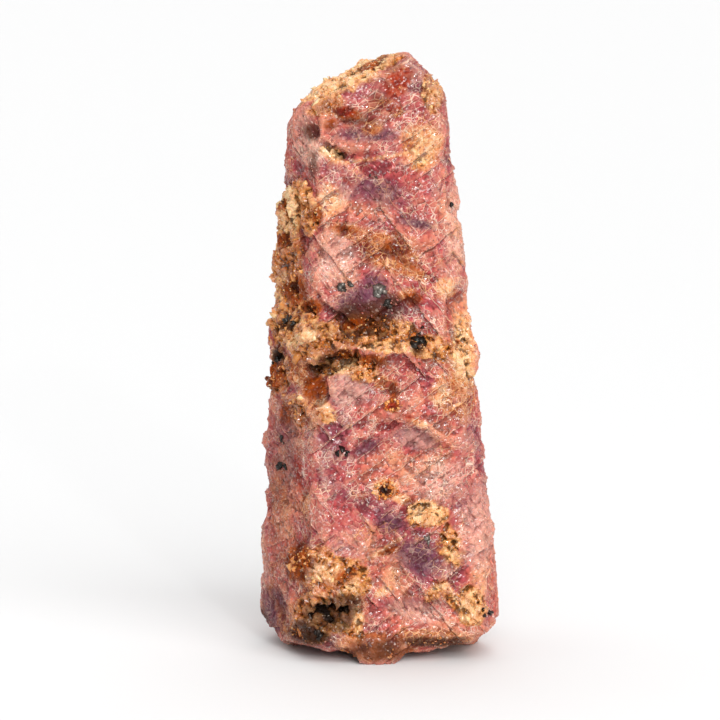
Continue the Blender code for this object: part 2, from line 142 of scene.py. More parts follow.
@dataclass(frozen=True)
class Camera:
    """The camera that takes the photo's view, and the picture that it sees.

    A place in the picture is across, right of the stone's axis, and up, above the middle of its
    foot, both as long as they look at the axis.
    """

    lens: float = 150.0
    film: float = 36.0
    picture_width: float = 57.6
    look_down: float = math.radians(8.0)
    axis_offset: float = 1.48
    foot_below: float = 22.96

    @property
    def right(self) -> np.ndarray:
        """The picture's own right."""
        return np.array((1.0, 0.0, 0.0))

    @property
    def upward(self) -> np.ndarray:
        """The picture's own up."""
        return np.array((0.0, math.sin(self.look_down), math.cos(self.look_down)))

    @property
    def ahead(self) -> np.ndarray:
        """The way the camera looks."""
        return np.array((0.0, math.cos(self.look_down), -math.sin(self.look_down)))

    @property
    def aim(self) -> np.ndarray:
        """The spot in the middle of the picture."""
        return np.array((-self.axis_offset, 0.0, self.foot_below / math.cos(self.look_down)))

    @property
    def distance(self) -> float:
        """How far the camera stands from what it is aimed at."""
        return self.picture_width / self.film * self.lens

    @property
    def eye(self) -> np.ndarray:
        """Where the camera is."""
        return self.aim - self.ahead * self.distance

    def place(self) -> Object:
        """Makes the camera and gives it to the scene."""
        data = bpy.data.cameras.new("camera")
        data.lens = self.lens
        data.sensor_width = self.film
        data.clip_start = 0.01
        camera = bpy.data.objects.new("camera", data)
        camera.location = Vector(self.eye) * METRES
        camera.rotation_mode = "QUATERNION"
        camera.rotation_quaternion = Vector(self.ahead).to_track_quat("-Z", "Y")
        bpy.context.scene.collection.objects.link(camera)
        bpy.context.scene.camera = camera
        return camera

    def in_picture(self, points: np.ndarray) -> np.ndarray:
        """Where points are seen.

        Args:
            points: places in space, a row each.

        Returns:
            Across, up and depth behind the axis, a row for each point.
        """
        offset = points - self.eye
        depth = offset @ self.ahead
        scale = self.distance / depth
        across = offset @ self.right * scale - self.axis_offset
        up = offset @ self.upward * scale + self.foot_below
        return np.column_stack((across, up, depth - self.distance))

    def ray_to(self, across: float, up: float) -> np.ndarray:
        """The direction from the camera to a place in the picture."""
        target = self.aim + (across + self.axis_offset) * self.right
        ray = target + (up - self.foot_below) * self.upward - self.eye
        return ray / np.linalg.norm(ray)


CAMERA = Camera()


class Side(Enum):
    """How a patch says where it is."""

    SEEN = "across and up in the picture"
    AROUND = "bearing round the axis, where 0 is the front and 90 the right, and height"


@dataclass(frozen=True)
class Patch:
    """An elliptical stretch of the skin.

    Attributes:
        side: what first and second mean.
        first: across, or the bearing in degrees.
        second: up, or the height.
        half_width: half of its width.
        half_height: half of its height.
        strength: its value in the middle.
        turn: how far its width is turned upwards, in degrees.
    """

    side: Side
    first: float
    second: float
    half_width: float
    half_height: float
    strength: float = 1.0
    turn: float = 0.0


def seen(across: float, up: float, half_width: float, half_height: float, strength: float = 1.0,
         turn: float = 0.0) -> Patch:
    """A patch of the side that the picture shows."""
    return Patch(Side.SEEN, across, up, half_width, half_height, strength, turn)


def around(bearing: float, height: float, half_width: float, half_height: float,
           strength: float = 1.0, turn: float = 0.0) -> Patch:
    """A patch of the sides that the picture doesn't show."""
    return Patch(Side.AROUND, bearing, height, half_width, half_height, strength, turn)


class Zone(Enum):
    """A kind of ground on the stone, or a place where shade is painted, and the name of the attribute
    that holds where it is.
    """

    CRUST = "crust"
    RUST = "rust"
    ROSE = "rose"
    VIOLET = "violet"
    PALE = "pale"
    BLOOD = "blood"
    AMBER = "amber"
    # Brown stain, which along the bottom of the foot is also painted shade.
    UMBER = "umber"
    CREAM = "cream"
    # Where painted shade darkens the deep cavities and cracks; not a ground of its own.
    CAVITY_SHADE = "cavity_shade"
    CALM = "calm"


ZONES: dict[Zone, tuple[Patch, ...]] = {
    Zone.CRUST: (
        seen(-2.3, 45.6, 5.0, 1.5, 1.0, 27.0), seen(-4.2, 43.4, 1.9, 0.8, 0.8, 20.0),
        seen(4.3, 44.4, 0.9, 1.7), seen(3.7, 40.0, 1.3, 2.0, 0.4, -12.0),
        seen(-3.9, 39.6, 1.2, 0.5, 0.7, -20.0), seen(-6.9, 35.4, 1.9, 2.0), seen(-7.6, 30.9, 1.7, 4.6),
        seen(-5.4, 34.6, 0.7, 1.6, 0.9), seen(-6.9, 26.0, 2.6, 2.4), seen(-5.6, 24.6, 2.4, 2.0),
        seen(-0.4, 25.0, 4.4, 1.6, 1.0, -4.0), seen(4.2, 24.0, 2.2, 1.2, 0.8, -10.0),
        seen(6.8, 23.6, 0.9, 3.4, 0.6), seen(-3.4, 22.6, 2.6, 0.9, 1.0, 20.0),
        seen(-1.2, 22.2, 1.4, 1.1), seen(-6.4, 19.2, 0.9, 1.5, 0.7),
        seen(-4.3, 18.4, 1.0, 0.5, 0.9, -20.0), seen(-8.0, 22.0, 1.2, 2.4, 0.8),
        seen(3.8, 10.6, 1.8, 1.2, 1.0, -8.0), seen(5.6, 8.3, 1.1, 2.2, 0.6, 18.0),
        seen(-4.2, 6.1, 3.9, 1.7, 1.0, -8.0), seen(-2.0, 4.6, 2.2, 1.0, 0.9, 30.0),
        seen(-4.4, 2.6, 2.8, 1.9), seen(-2.0, 1.9, 1.0, 1.8, 1.0, 10.0), seen(7.5, 3.3, 1.2, 2.0),
        seen(-5.4, 1.2, 2.4, 0.8, 0.8, -10.0), seen(4.6, 4.4, 1.4, 0.5, 0.9, 35.0),
        seen(6.1, 3.4, 1.5, 0.5, 0.9, -50.0), around(-126.0, 35.4, 2.2, 5.0, 0.8, 14.0),
        around(-140.0, 30.0, 3.4, 1.4, 0.75, -34.0), around(146.0, 20.0, 4.6, 1.4, 0.75, 26.0),
        around(133.0, 16.8, 1.6, 2.8, 0.6), around(172.0, 38.6, 3.6, 1.3, 0.7, -30.0),
        around(-118.0, 11.0, 1.6, 4.8, 0.7, 12.0), around(112.0, 4.4, 4.6, 1.3, 0.7, 20.0),
        around(178.0, 7.8, 4.0, 1.1, 0.7, -24.0), around(94.0, 31.0, 0.9, 5.0, 0.8, 10.0),
        around(180.0, 46.0, 5.0, 2.6, 0.9), around(-162.0, 24.0, 3.4, 0.9, 0.7, 26.0),
    ),
    Zone.RUST: (
        seen(-1.6, 45.8, 4.4, 1.4, 0.28, 27.0), seen(-7.2, 32.0, 1.8, 5.0, 0.62),
        seen(-5.5, 5.6, 2.6, 2.6, 0.6), seen(-4.0, 43.2, 1.8, 0.8, 0.8, 10.0),
        seen(1.5, 45.4, 1.1, 1.3, 1.0, -20.0), seen(1.3, 42.8, 0.7, 0.5),
        seen(-2.4, 42.6, 1.1, 0.6, 1.0, -10.0), seen(-0.6, 41.7, 1.1, 0.8, 0.8),
        seen(3.9, 40.4, 1.4, 2.2, 0.55), seen(4.3, 44.4, 1.0, 1.7),
        seen(0.2, 43.3, 1.8, 1.3, 0.4, -20.0), seen(-6.2, 34.6, 0.8, 1.1, 0.9),
        seen(-8.0, 35.2, 0.8, 1.2, 0.6), seen(-7.7, 32.8, 1.2, 0.7, 0.7), seen(-6.6, 28.5, 1.2, 1.4),
        seen(-5.3, 27.2, 0.9, 0.7), seen(-2.8, 33.4, 2.0, 0.7, 0.75, -8.0),
        seen(1.0, 31.6, 3.0, 1.7, 1.0, -22.0), seen(3.0, 29.9, 1.8, 0.6, 0.9, -25.0),
        seen(2.4, 28.1, 1.1, 0.8, 0.85), seen(5.4, 28.4, 1.0, 1.0, 0.5), seen(-0.5, 26.3, 1.8, 0.6, 0.8),
        seen(-3.3, 23.9, 1.9, 0.6, 0.9, 14.0), seen(-0.3, 22.7, 1.4, 0.7, 0.9, 10.0),
        seen(1.1, 19.2, 0.7, 0.6, 0.9), seen(-7.9, 12.0, 0.9, 3.0, 0.5), seen(0.3, 21.2, 0.7, 1.0, 0.7),
        seen(-5.1, 20.5, 1.0, 1.3, 1.6), seen(-8.2, 21.6, 1.2, 1.8, 0.9, -20.0),
        seen(-6.4, 22.0, 1.5, 1.3, 0.9, 20.0), seen(-5.4, 18.6, 1.4, 1.6, 0.6, -40.0),
        seen(-8.0, 6.6, 1.3, 4.0, 0.34), seen(-6.6, 2.2, 2.6, 2.0, 0.5, -20.0),
        seen(-1.6, 3.0, 1.8, 2.4, 0.45, 20.0), seen(-6.6, 19.0, 1.6, 1.0, 0.8, -40.0),
        seen(6.2, 20.6, 1.7, 3.8, 0.7), seen(0.5, 12.6, 1.0, 0.8), seen(2.0, 11.9, 1.1, 0.4, 0.8, -18.0),
        seen(-1.2, 12.0, 1.4, 0.5, 0.5), seen(-6.4, 6.7, 1.2, 1.9, 1.0, -12.0),
        seen(-4.6, 7.8, 1.0, 0.5, 0.8, -25.0), seen(0.8, 7.7, 1.1, 0.45, 0.9, 20.0),
        seen(-5.8, 10.4, 0.5, 3.4, 0.5), seen(-3.0, 5.4, 2.4, 0.7, 0.6), seen(3.6, 11.0, 1.6, 0.8, 0.45),
        seen(4.7, 4.9, 1.1, 0.35, 0.8, 35.0), seen(6.9, 2.9, 1.2, 1.4, 0.5),
        seen(-0.3, 0.0, 3.0, 1.3, 1.3), seen(4.2, 0.7, 3.6, 0.7, 1.2),
        around(-128.0, 36.0, 2.2, 3.0, 0.9), around(-122.0, 28.0, 2.0, 2.4, 0.8),
        around(140.0, 19.6, 3.0, 2.0, 0.9, 12.0), around(172.0, 30.0, 3.6, 1.3, 0.9, -24.0),
        around(-120.0, 11.4, 2.0, 2.8, 0.9), around(112.0, 5.0, 2.2, 1.8, 0.7),
        around(180.0, 45.0, 4.0, 2.2, 0.9), around(-168.0, 14.6, 2.4, 0.9, 0.9, 20.0),
        around(100.0, 34.0, 1.2, 3.0, 0.6),
    ),
    Zone.ROSE: (
        seen(-5.7, 42.8, 1.2, 1.3, 1.0, 30.0), seen(2.7, 42.2, 1.3, 0.9, 0.9, 40.0),
        seen(2.5, 37.6, 2.1, 1.2, 1.0, -12.0), seen(3.4, 34.0, 1.4, 1.6, 0.8),
        seen(4.1, 29.0, 2.0, 1.6, 0.9), seen(4.6, 25.9, 1.6, 1.6, 0.9),
        seen(2.0, 21.9, 1.5, 1.0, 0.8, 20.0), seen(-0.6, 17.0, 2.4, 0.9, 0.9, 25.0),
        seen(-3.2, 10.6, 2.1, 1.5, 0.9), seen(-5.5, 14.4, 0.8, 3.4, 0.8),
        seen(-2.8, 14.0, 1.6, 1.0, 0.8, 10.0), around(176.0, 34.4, 3.6, 2.4, 0.9, 20.0),
        around(170.0, 13.0, 2.6, 3.0, 0.9, -20.0), around(-134.0, 20.6, 2.4, 2.4, 0.8),
        around(110.0, 24.0, 1.6, 3.4, 0.8),
    ),
    Zone.VIOLET: (
        seen(-1.2, 27.2, 2.3, 1.9, 1.5), seen(-0.6, 28.6, 1.4, 1.4, 0.8, 30.0),
        seen(0.2, 36.4, 3.0, 1.4, 0.6, -18.0), seen(3.0, 33.9, 1.9, 0.45, 0.8, -12.0),
        seen(-2.2, 36.6, 1.6, 1.0, 0.5, -18.0), seen(0.4, 43.9, 1.1, 1.0, 0.6, -30.0),
        seen(-1.0, 41.0, 2.8, 0.8, 0.8), seen(3.0, 16.6, 2.0, 1.0, 0.7, -20.0),
        seen(-1.0, 15.9, 1.6, 0.7, 0.7, 25.0), seen(3.2, 7.2, 2.0, 1.5, 1.0, -10.0),
        seen(0.9, 9.9, 1.4, 0.9, 0.7), seen(-7.5, 15.5, 1.4, 4.6, 0.5), seen(-8.4, 3.0, 1.4, 2.2),
        seen(-6.4, 35.0, 0.35, 3.0, 0.9), seen(-2.2, 20.4, 1.6, 1.2, 0.6, 30.0),
        seen(2.4, 3.2, 2.4, 0.8, 0.5, -8.0), around(-176.0, 20.0, 3.6, 3.0, 0.8),
        around(120.0, 38.0, 2.4, 2.8, 0.8), around(-112.0, 24.0, 2.0, 3.0, 0.8),
        around(90.0, 14.0, 2.0, 3.4, 0.6), around(150.0, 3.0, 3.0, 2.4, 0.7),
    ),
    Zone.PALE: (
        seen(-3.5, 31.0, 1.6, 2.5), seen(-3.0, 29.6, 1.6, 1.2, 0.7, 30.0),
        seen(-5.4, 39.9, 1.5, 1.4, 0.9), seen(-2.4, 20.6, 1.8, 1.4, 0.6, 25.0),
        seen(4.8, 13.2, 2.3, 2.2, 0.55), seen(8.2, 9.6, 1.3, 3.8), seen(6.2, 33.6, 1.0, 4.4, 0.7),
        seen(-2.4, 8.2, 2.2, 1.5, 0.45), seen(3.0, 2.8, 2.6, 0.9, 0.6, -8.0),
        seen(3.0, 16.6, 1.6, 0.9, 0.6, -20.0), seen(-6.0, 42.2, 1.0, 1.4, 0.5),
        seen(5.2, 4.0, 1.0, 0.8, 0.6), seen(-3.4, 36.0, 1.6, 1.2, 0.4),
        around(160.0, 25.0, 2.4, 2.6, 0.7), around(-150.0, 40.0, 2.4, 2.0, 0.7),
        around(-96.0, 7.0, 1.8, 2.6, 0.5),
    ),
    Zone.BLOOD: (
        seen(1.5, 45.2, 0.9, 1.3, 1.7, -35.0), seen(2.0, 45.8, 0.8, 0.7, 1.4), seen(1.2, 43.0, 0.6, 0.4),
        seen(-2.6, 42.8, 0.8, 0.4, 0.8, -10.0), seen(0.6, 42.2, 1.0, 0.4, 0.6),
        seen(1.0, 19.3, 0.5, 0.4, 0.8), seen(1.7, 18.4, 0.4, 0.4, 0.8), seen(2.4, 18.2, 0.4, 0.4, 0.8),
        seen(-2.5, 37.3, 0.8, 0.3, 0.6, -40.0), seen(-6.5, 14.0, 0.5, 3.0, 0.5),
        around(174.0, 42.0, 1.0, 1.6, 0.8, 20.0),
    ),
    Zone.AMBER: (
        seen(-5.1, 20.7, 0.95, 1.0, 1.7, -30.0), seen(-6.6, 28.5, 1.0, 1.3, 1.2),
        seen(-5.3, 27.2, 0.9, 0.6, 1.1), seen(-4.9, 34.6, 0.5, 1.0), seen(-7.7, 32.6, 1.0, 0.6),
        seen(-8.2, 35.6, 0.6, 0.7, 0.9), seen(-6.4, 6.8, 1.1, 1.7, 1.3, -12.0),
        seen(1.1, 19.3, 0.6, 0.5, 1.2), seen(0.5, 12.5, 0.55, 0.45, 1.2),
        seen(-2.5, 42.7, 1.0, 0.5, 1.1, -10.0), seen(-3.8, 41.8, 0.6, 0.5),
        seen(1.0, 31.8, 1.6, 0.7, 0.6, -22.0), seen(2.6, 30.6, 1.4, 0.5, 0.55, -25.0),
        seen(-2.6, 33.4, 1.5, 0.35, 0.65, -8.0), seen(-1.9, 25.8, 1.5, 0.5),
        seen(-0.4, 23.0, 1.0, 0.5, 1.1), seen(-3.0, 23.4, 1.2, 0.4, 1.0, 14.0),
        seen(-8.2, 21.8, 0.8, 1.2, 1.0, -20.0), seen(1.2, 20.6, 0.5, 0.9, 0.9),
        seen(0.8, 7.7, 0.9, 0.35, 0.9, 20.0), seen(2.8, 27.8, 0.9, 0.7, 0.9),
        seen(-7.4, 18.6, 0.7, 0.9, 0.8), seen(-2.6, 5.8, 1.2, 0.4, 0.8, 20.0),
        seen(-0.4, 46.6, 1.6, 0.4, 0.9, 25.0), around(-125.0, 34.0, 1.2, 1.8),
        around(-130.0, 28.0, 1.0, 1.0), around(140.0, 19.4, 1.6, 0.8),
        around(172.0, 30.0, 2.0, 0.6, 0.9, -24.0), around(-118.0, 12.0, 1.0, 1.4),
        around(178.0, 45.6, 1.8, 0.9), around(-168.0, 14.6, 1.2, 0.5, 1.0, 20.0),
    ),
    # Brown stain. The patches at up 1 and below, along the bottom of the foot, are painted shade under
    # the foot.
    Zone.UMBER: (
        seen(-0.3, -0.4, 3.0, 1.0, 0.67), seen(-8.4, 2.6, 1.4, 2.6, 0.3),
        seen(-3.4, 25.4, 2.2, 0.8, 0.35), seen(-5.8, 0.9, 2.6, 0.9, 0.8, -10.0),
        seen(4.2, 0.4, 3.6, 0.5, 0.9), seen(-1.2, 26.6, 2.4, 1.2), seen(-5.4, 41.2, 0.8, 0.8, 0.8),
        seen(-1.2, 25.2, 2.2, 0.5, 0.8, 12.0), seen(-7.6, 25.6, 1.0, 0.5, 0.8, 20.0),
        seen(0.9, 27.2, 1.3, 1.2, 0.8), seen(3.2, 24.4, 0.7, 1.1, 0.9), seen(-8.0, 23.4, 0.5, 1.0, 0.8),
        seen(-8.4, 12.0, 0.8, 6.0, 0.15), seen(0.0, 43.3, 1.8, 1.2, 0.2, -20.0),
        seen(-2.0, 42.4, 2.0, 0.8, 0.5), seen(-5.2, 38.6, 0.5, 1.6, 0.6),
        seen(-5.1, 20.8, 0.5, 0.6, 0.6), around(-176.0, 16.0, 2.0, 0.8, 0.8, 20.0),
        around(150.0, 31.0, 1.6, 0.8, 0.8, -20.0), around(-100.0, 2.0, 3.0, 1.0, 0.7),
    ),
    Zone.CREAM: (
        seen(-2.6, 45.6, 4.4, 1.4, 1.2, 27.0), seen(4.4, 44.0, 1.0, 1.6, 0.4),
        seen(-7.2, 34.6, 1.4, 2.0, 0.75), seen(-7.8, 28.6, 1.2, 1.6, 0.4),
        seen(-4.0, 6.0, 2.0, 1.0, 0.4), seen(-3.7, 39.4, 1.2, 0.5, 1.0, -25.0),
        seen(3.4, 40.0, 1.7, 1.9, 1.1), seen(-4.0, 35.6, 1.4, 1.4, 0.7, -40.0),
        seen(-7.4, 36.2, 0.9, 0.6, 0.9), seen(5.4, 28.8, 0.9, 0.9),
        seen(-4.3, 19.2, 1.3, 0.5, 1.15, -48.0), seen(-6.4, 21.2, 1.0, 0.25, 0.5, -50.0),
        seen(-6.2, 24.7, 2.2, 0.5, 0.8, 20.0), seen(0.4, 24.0, 3.0, 0.5, 0.4, -6.0),
        seen(-2.6, 22.5, 1.0, 0.7, 1.0, 25.0), seen(6.9, 24.0, 1.2, 3.6, 0.9),
        seen(4.9, 20.5, 0.9, 1.6, 0.6), seen(3.3, 17.9, 1.2, 0.3, 1.0, -18.0),
        seen(3.9, 10.7, 1.7, 1.1, 1.0, -10.0), seen(6.0, 7.4, 0.9, 1.4, 0.6), seen(0.5, 12.7, 1.1, 0.9),
        seen(1.7, 11.8, 0.9, 0.4, 0.8, -20.0), seen(0.4, 4.5, 1.0, 0.35, 0.9, 30.0),
        seen(-2.2, 4.9, 1.0, 0.5, 0.7, 30.0), seen(7.4, 3.4, 1.3, 1.5, 0.5),
        seen(-1.7, 2.2, 0.5, 1.4, 0.7), seen(4.7, 4.7, 0.95, 0.17, 1.6, 24.0),
        seen(6.2, 3.85, 1.4, 0.17, 1.6, -59.0), seen(0.7, 39.2, 4.6, 0.14, 1.2, 7.0),
        seen(0.5, 7.9, 2.0, 0.14, 1.3, 33.0), around(140.0, 21.6, 3.0, 0.8, 0.9),
        around(-120.0, 36.4, 1.8, 1.4, 0.8), around(176.0, 39.0, 1.6, 1.4, 0.8),
    ),
    # Painted shade: the darkest colour, laid in the cavities and cracks where shadow falls.
    Zone.CAVITY_SHADE: (
        seen(-4.4, 22.9, 1.7, 0.6, 0.75, 22.0), seen(-3.7, 2.8, 2.4, 1.2, 2.4, 20.0),
        seen(-5.2, 2.0, 1.3, 0.7, 1.4, 10.0), seen(-3.2, 1.9, 1.1, 0.8, 1.2),
        seen(-4.9, 0.9, 1.4, 0.6, 0.8), seen(-3.2, 39.4, 0.9, 0.3, 0.8, -28.0),
        seen(-8.1, 23.4, 0.4, 0.7, 0.8), seen(0.5, 12.5, 0.4, 0.3, 0.6),
        around(128.0, 27.0, 1.6, 0.7, 0.8, -18.0), around(-148.0, 14.4, 1.4, 0.7, 0.8, 24.0),
        around(158.0, 6.0, 1.6, 0.8, 0.8, 10.0),
    ),
    Zone.CALM: (
        seen(8.4, 10.0, 1.4, 4.2, 1.2), seen(1.4, 45.1, 1.3, 1.7, 1.2, -15.0),
        seen(-6.0, 34.6, 0.6, 3.8, 1.1), seen(-7.8, 11.0, 1.8, 7.0, 0.5),
        seen(-1.0, 27.2, 1.8, 1.6, 0.7), seen(-6.0, 42.6, 1.3, 1.6, 0.8, 30.0),
        seen(2.2, 37.4, 2.2, 1.0, 0.8, -12.0), seen(0.0, 0.0, 3.0, 1.4), seen(-2.6, 10.6, 1.8, 1.2, 0.6),
        seen(3.2, 16.6, 1.6, 0.8, 0.8, -20.0), seen(0.9, 17.2, 1.6, 0.7, 0.6, 25.0),
        seen(-3.4, 32.0, 1.0, 1.6, 0.7), around(-170.0, 26.0, 3.0, 4.0, 0.8),
        around(100.0, 18.0, 2.6, 4.0, 0.8), around(-118.0, 20.0, 2.6, 3.0, 0.8),
        around(170.0, 4.0, 3.0, 2.4, 0.8),
    ),
}


def outwards_at(bearing: float) -> np.ndarray:
    """The level direction away from the stone's axis at a bearing in degrees."""
    turn = math.radians(bearing)
    return np.array((math.sin(turn), -math.cos(turn), 0.0))


class StoneMap:
    """Finds places on the stone's surface and says how far a patch covers each point.

    Attributes:
        far: a distance from the axis that is well outside the stone.
        reach: how deep behind its middle a patch still covers the surface.
        rim: where a patch begins to fade and where it ends, as a share of its half width.
    """

    far: float = 60.0
    reach: float = 6.0
    rim: Span = (0.35, 1.35)

    def __init__(self, mesh: Mesh) -> None:
        """Reads the surface of a mesh that is in metres."""
        points = [vertex.co / METRES for vertex in mesh.vertices]
        self.tree = BVHTree.FromPolygons(points, [face.vertices[:] for face in mesh.polygons])

    def spot(self, patch: Patch) -> np.ndarray:
        """The place on the surface in the middle of a patch."""
        if patch.side is Side.SEEN:
            start, away = Vector(CAMERA.eye), CAMERA.distance
            ray = Vector(CAMERA.ray_to(patch.first, patch.second))
        else:
            outwards, away = Vector(outwards_at(patch.first)), self.far
            start, ray = outwards * away + Vector((0.0, 0.0, patch.second)), -outwards
        hit = self.tree.ray_cast(start, ray)[0]
        return np.array(self.tree.find_nearest(start + ray * away)[0] if hit is None else hit)

    def cover(self, patch: Patch, points: np.ndarray) -> np.ndarray:
        """How much a patch covers each point, from 0 to its strength."""
        spot = self.spot(patch)
        if patch.side is Side.SEEN:
            offset = CAMERA.in_picture(points) - CAMERA.in_picture(spot[None])[0]
            right, up, deep = offset.T
        else:
            outwards, offset = outwards_at(patch.first), points - spot
            right, up, deep = offset @ np.cross((0, 0, 1), outwards), offset[:, 2], offset @ outwards
        turn = math.radians(patch.turn)
        along = (right * math.cos(turn) + up * math.sin(turn)) / patch.half_width
        over = (up * math.cos(turn) - right * math.sin(turn)) / patch.half_height
        away = np.sqrt(along**2 + over**2 + (deep / self.reach) ** 2)
        return patch.strength * (1.0 - smooth(*self.rim, away))

    def cover_all(self, patches: tuple[Patch, ...], points: np.ndarray) -> np.ndarray:
        """The most that any of the patches covers each point."""
        total = np.zeros(len(points))
        for patch in patches:
            total = np.maximum(total, self.cover(patch, points))
        return total


def points_of(mesh: Mesh) -> np.ndarray:
    """The mesh's vertices in millimetres, a row each."""
    flat = np.empty(len(mesh.vertices) * 3, np.float32)
    mesh.vertices.foreach_get("co", flat)
    return flat.reshape(-1, 3).astype(float) / METRES


def move_points(mesh: Mesh, points: np.ndarray) -> None:
    """Puts the mesh's vertices at these places, given in millimetres."""
    mesh.vertices.foreach_set("co", (points * METRES).astype(np.float32).ravel())
    mesh.update()


def write_attribute(mesh: Mesh, name: str, values: np.ndarray) -> None:
    """Stores a number, or a row of three, for each vertex."""
    kind, key = ("FLOAT_VECTOR", "vector") if values.ndim == 2 else ("FLOAT", "value")
    attribute = mesh.attributes.get(name) or mesh.attributes.new(name, kind, "POINT")
    attribute.data.foreach_set(key, values.astype(np.float32).ravel())


def read_attribute(mesh: Mesh, name: str) -> np.ndarray:
    """Reads a number for each vertex."""
    values = np.empty(len(mesh.vertices), np.float32)
    mesh.attributes[name].data.foreach_get("value", values)
    return values.astype(float)


def applied(piece: Object) -> Mesh:
    """The piece's mesh with its modifiers applied. The modifiers are taken off."""
    bpy.context.view_layer.update()
    graph = bpy.context.evaluated_depsgraph_get()
    mesh = bpy.data.meshes.new_from_object(piece.evaluated_get(graph))
    piece.modifiers.clear()
    old, piece.data = piece.data, mesh
    bpy.data.meshes.remove(old)
    return mesh


def neighbour_mean(mesh: Mesh, values: np.ndarray, rounds: int) -> np.ndarray:
    """Values at the vertices, averaged with those of their neighbours again and again."""
    ends = np.empty(len(mesh.edges) * 2, np.int32)
    mesh.edges.foreach_get("vertices", ends)
    first, second = ends.reshape(-1, 2).T
    count = np.bincount(ends, minlength=len(values)).astype(float)
    columns = values.reshape(len(values), -1)
    for _ in range(rounds):
        total = np.empty_like(columns)
        for i in range(columns.shape[1]):
            column = columns[:, i]
            total[:, i] = np.bincount(first, column[second], len(column))
            total[:, i] += np.bincount(second, column[first], len(column))
        columns = 0.5 * columns + 0.5 * total / np.maximum(count, 1.0)[:, None]
    return columns.reshape(values.shape)


@dataclass(frozen=True)
class CrackCells:
    """The blocks that corundum parts into, which the relief and the colours both follow.

    Attributes:
        block: width of the blocks, as the photo shows them.
        splinter: width of the finer pieces that they crumble to. Real ones go on down to a few
            hundredths, and these are as fine as the skin's triangles can show.
        wander, wander_size: how far the cracks bend, and over what length.
        domain, turned_from: width of the stretches that part in one direction, and the chance above
            which one takes the second direction.
        directions: how far the cracks are turned in the two kinds of stretch, in radians.
        stretch: how much narrower the blocks are each way.
        ledge: height of the parting steps.
        ledge_patch, ledge_range: width of the stretches that have steps, and the noise at which they
            begin and are full.
    """

    block: float = 0.5
    splinter: float = 0.22
    wander: float = 0.15
    wander_size: float = 1.3
    domain: float = 4.2
    turned_from: float = 0.55
    directions: Span = (math.radians(35.0), math.radians(-52.0))
    stretch: Place = (0.86, 0.95, 1.16)
    ledge: float = 1.5
    ledge_patch: float = 3.4
    ledge_range: Span = (0.4, 0.56)

    def bent(self, graph: Graph, rest: Socket) -> Socket:
        """The stone's own coordinates, bent by noise so that no crack is straight."""
        swirl = graph.add("TexNoise", {"Vector": rest, "Scale": 1.0 / self.wander_size, "Detail": 1.0},
                          "Color")
        centred = graph.add("VectorMath", (swirl, (0.5, 0.5, 0.5)), operation="SUBTRACT")
        shift = graph.add("VectorMath", {0: centred, "Scale": 2.0 * self.wander}, operation="SCALE")
        moved = graph.add("VectorMath", (rest, shift), operation="ADD")
        domain = graph.add("TexVoronoi", {"Vector": moved, "Scale": 1.0 / self.domain}, "Color")
        domain = graph.add("SeparateXYZ", (domain,), "X")
        domain = graph.add("Math", (domain, self.turned_from), operation="GREATER_THAN")
        angle = graph.add("MapRange", (domain, 0.0, 1.0, *self.directions))
        turned = graph.add("VectorRotate", {"Vector": moved, "Angle": angle}, rotation_type="Y_AXIS")
        return graph.add("VectorMath", (turned, self.stretch), operation="MULTIPLY")

    def edge(self, graph: Graph, bent: Socket, size: float) -> Socket:
        """How far each place is from the nearest crack, in millimetres."""
        share = graph.add("TexVoronoi", {"Vector": bent, "Scale": 1.0 / size}, "Distance",
                          feature="DISTANCE_TO_EDGE")
        return graph.add("Math", (share, size), operation="MULTIPLY")

    def lean(self, graph: Graph, bent: Socket, size: float) -> Socket:
        """A vector that is the same all over a block, from -0.5 to 0.5 each way."""
        chance = graph.add("TexVoronoi", {"Vector": bent, "Scale": 1.0 / size}, "Color")
        return graph.add("VectorMath", (chance, (0.5, 0.5, 0.5)), operation="SUBTRACT")

    def tilted_top(self, graph: Graph, bent: Socket, size: float, slope: float) -> Socket:
        """The height of a flat block top that leans its own way, in millimetres."""
        middle = graph.add("TexVoronoi", {"Vector": bent, "Scale": 1.0 / size}, "Position")
        offset = graph.add("VectorMath", (bent, middle), operation="SUBTRACT")
        lean = self.lean(graph, bent, size)
        height = graph.add("VectorMath", (offset, lean), "Value", operation="DOT_PRODUCT")
        return graph.add("Math", (height, slope), operation="MULTIPLY")

    def step(self, graph: Graph, bent: Socket, out: str) -> Socket:
        """Parting steps like shingles. Gives "W", or the "Distance" to the nearest step, in steps."""
        across = graph.add("SeparateXYZ", (bent,), "Z")
        feature = "DISTANCE_TO_EDGE" if out == "Distance" else "F1"
        return graph.add("TexVoronoi", {"W": across, "Scale": 1.0 / self.ledge}, out,
                         voronoi_dimensions="1D", feature=feature)

    def stepped(self, graph: Graph, rest: Socket) -> Socket:
        """Where the parting steps are, from 0 to 1: they come and go."""
        patches = graph.add("TexNoise", {"Vector": rest, "Scale": 1.0 / self.ledge_patch, "Detail": 1.0})
        return graph.add("MapRange", (patches, *self.ledge_range))


CELLS = CrackCells()


@dataclass(frozen=True)
class Rim:
    """How a zone ends: in tongues of a width in millimetres, of a raggedness, and how softly."""

    tongue: float
    raggedness: float
    softness: float


RIMS: dict[Zone, Rim] = {
    Zone.CRUST: Rim(1.2, 2.0, 0.14),
    Zone.RUST: Rim(1.5, 1.5, 0.34),
    Zone.ROSE: Rim(2.6, 1.0, 0.45),
    Zone.VIOLET: Rim(2.6, 1.0, 0.45),
    Zone.PALE: Rim(2.2, 1.0, 0.45),
    Zone.BLOOD: Rim(1.0, 1.0, 0.3),
    Zone.AMBER: Rim(0.9, 1.2, 0.3),
    Zone.UMBER: Rim(1.6, 1.2, 0.4),
    Zone.CREAM: Rim(0.9, 1.6, 0.34),
    Zone.CAVITY_SHADE: Rim(1.0, 1.8, 0.4),
    Zone.CALM: Rim(2.0, 0.8, 0.4),
}


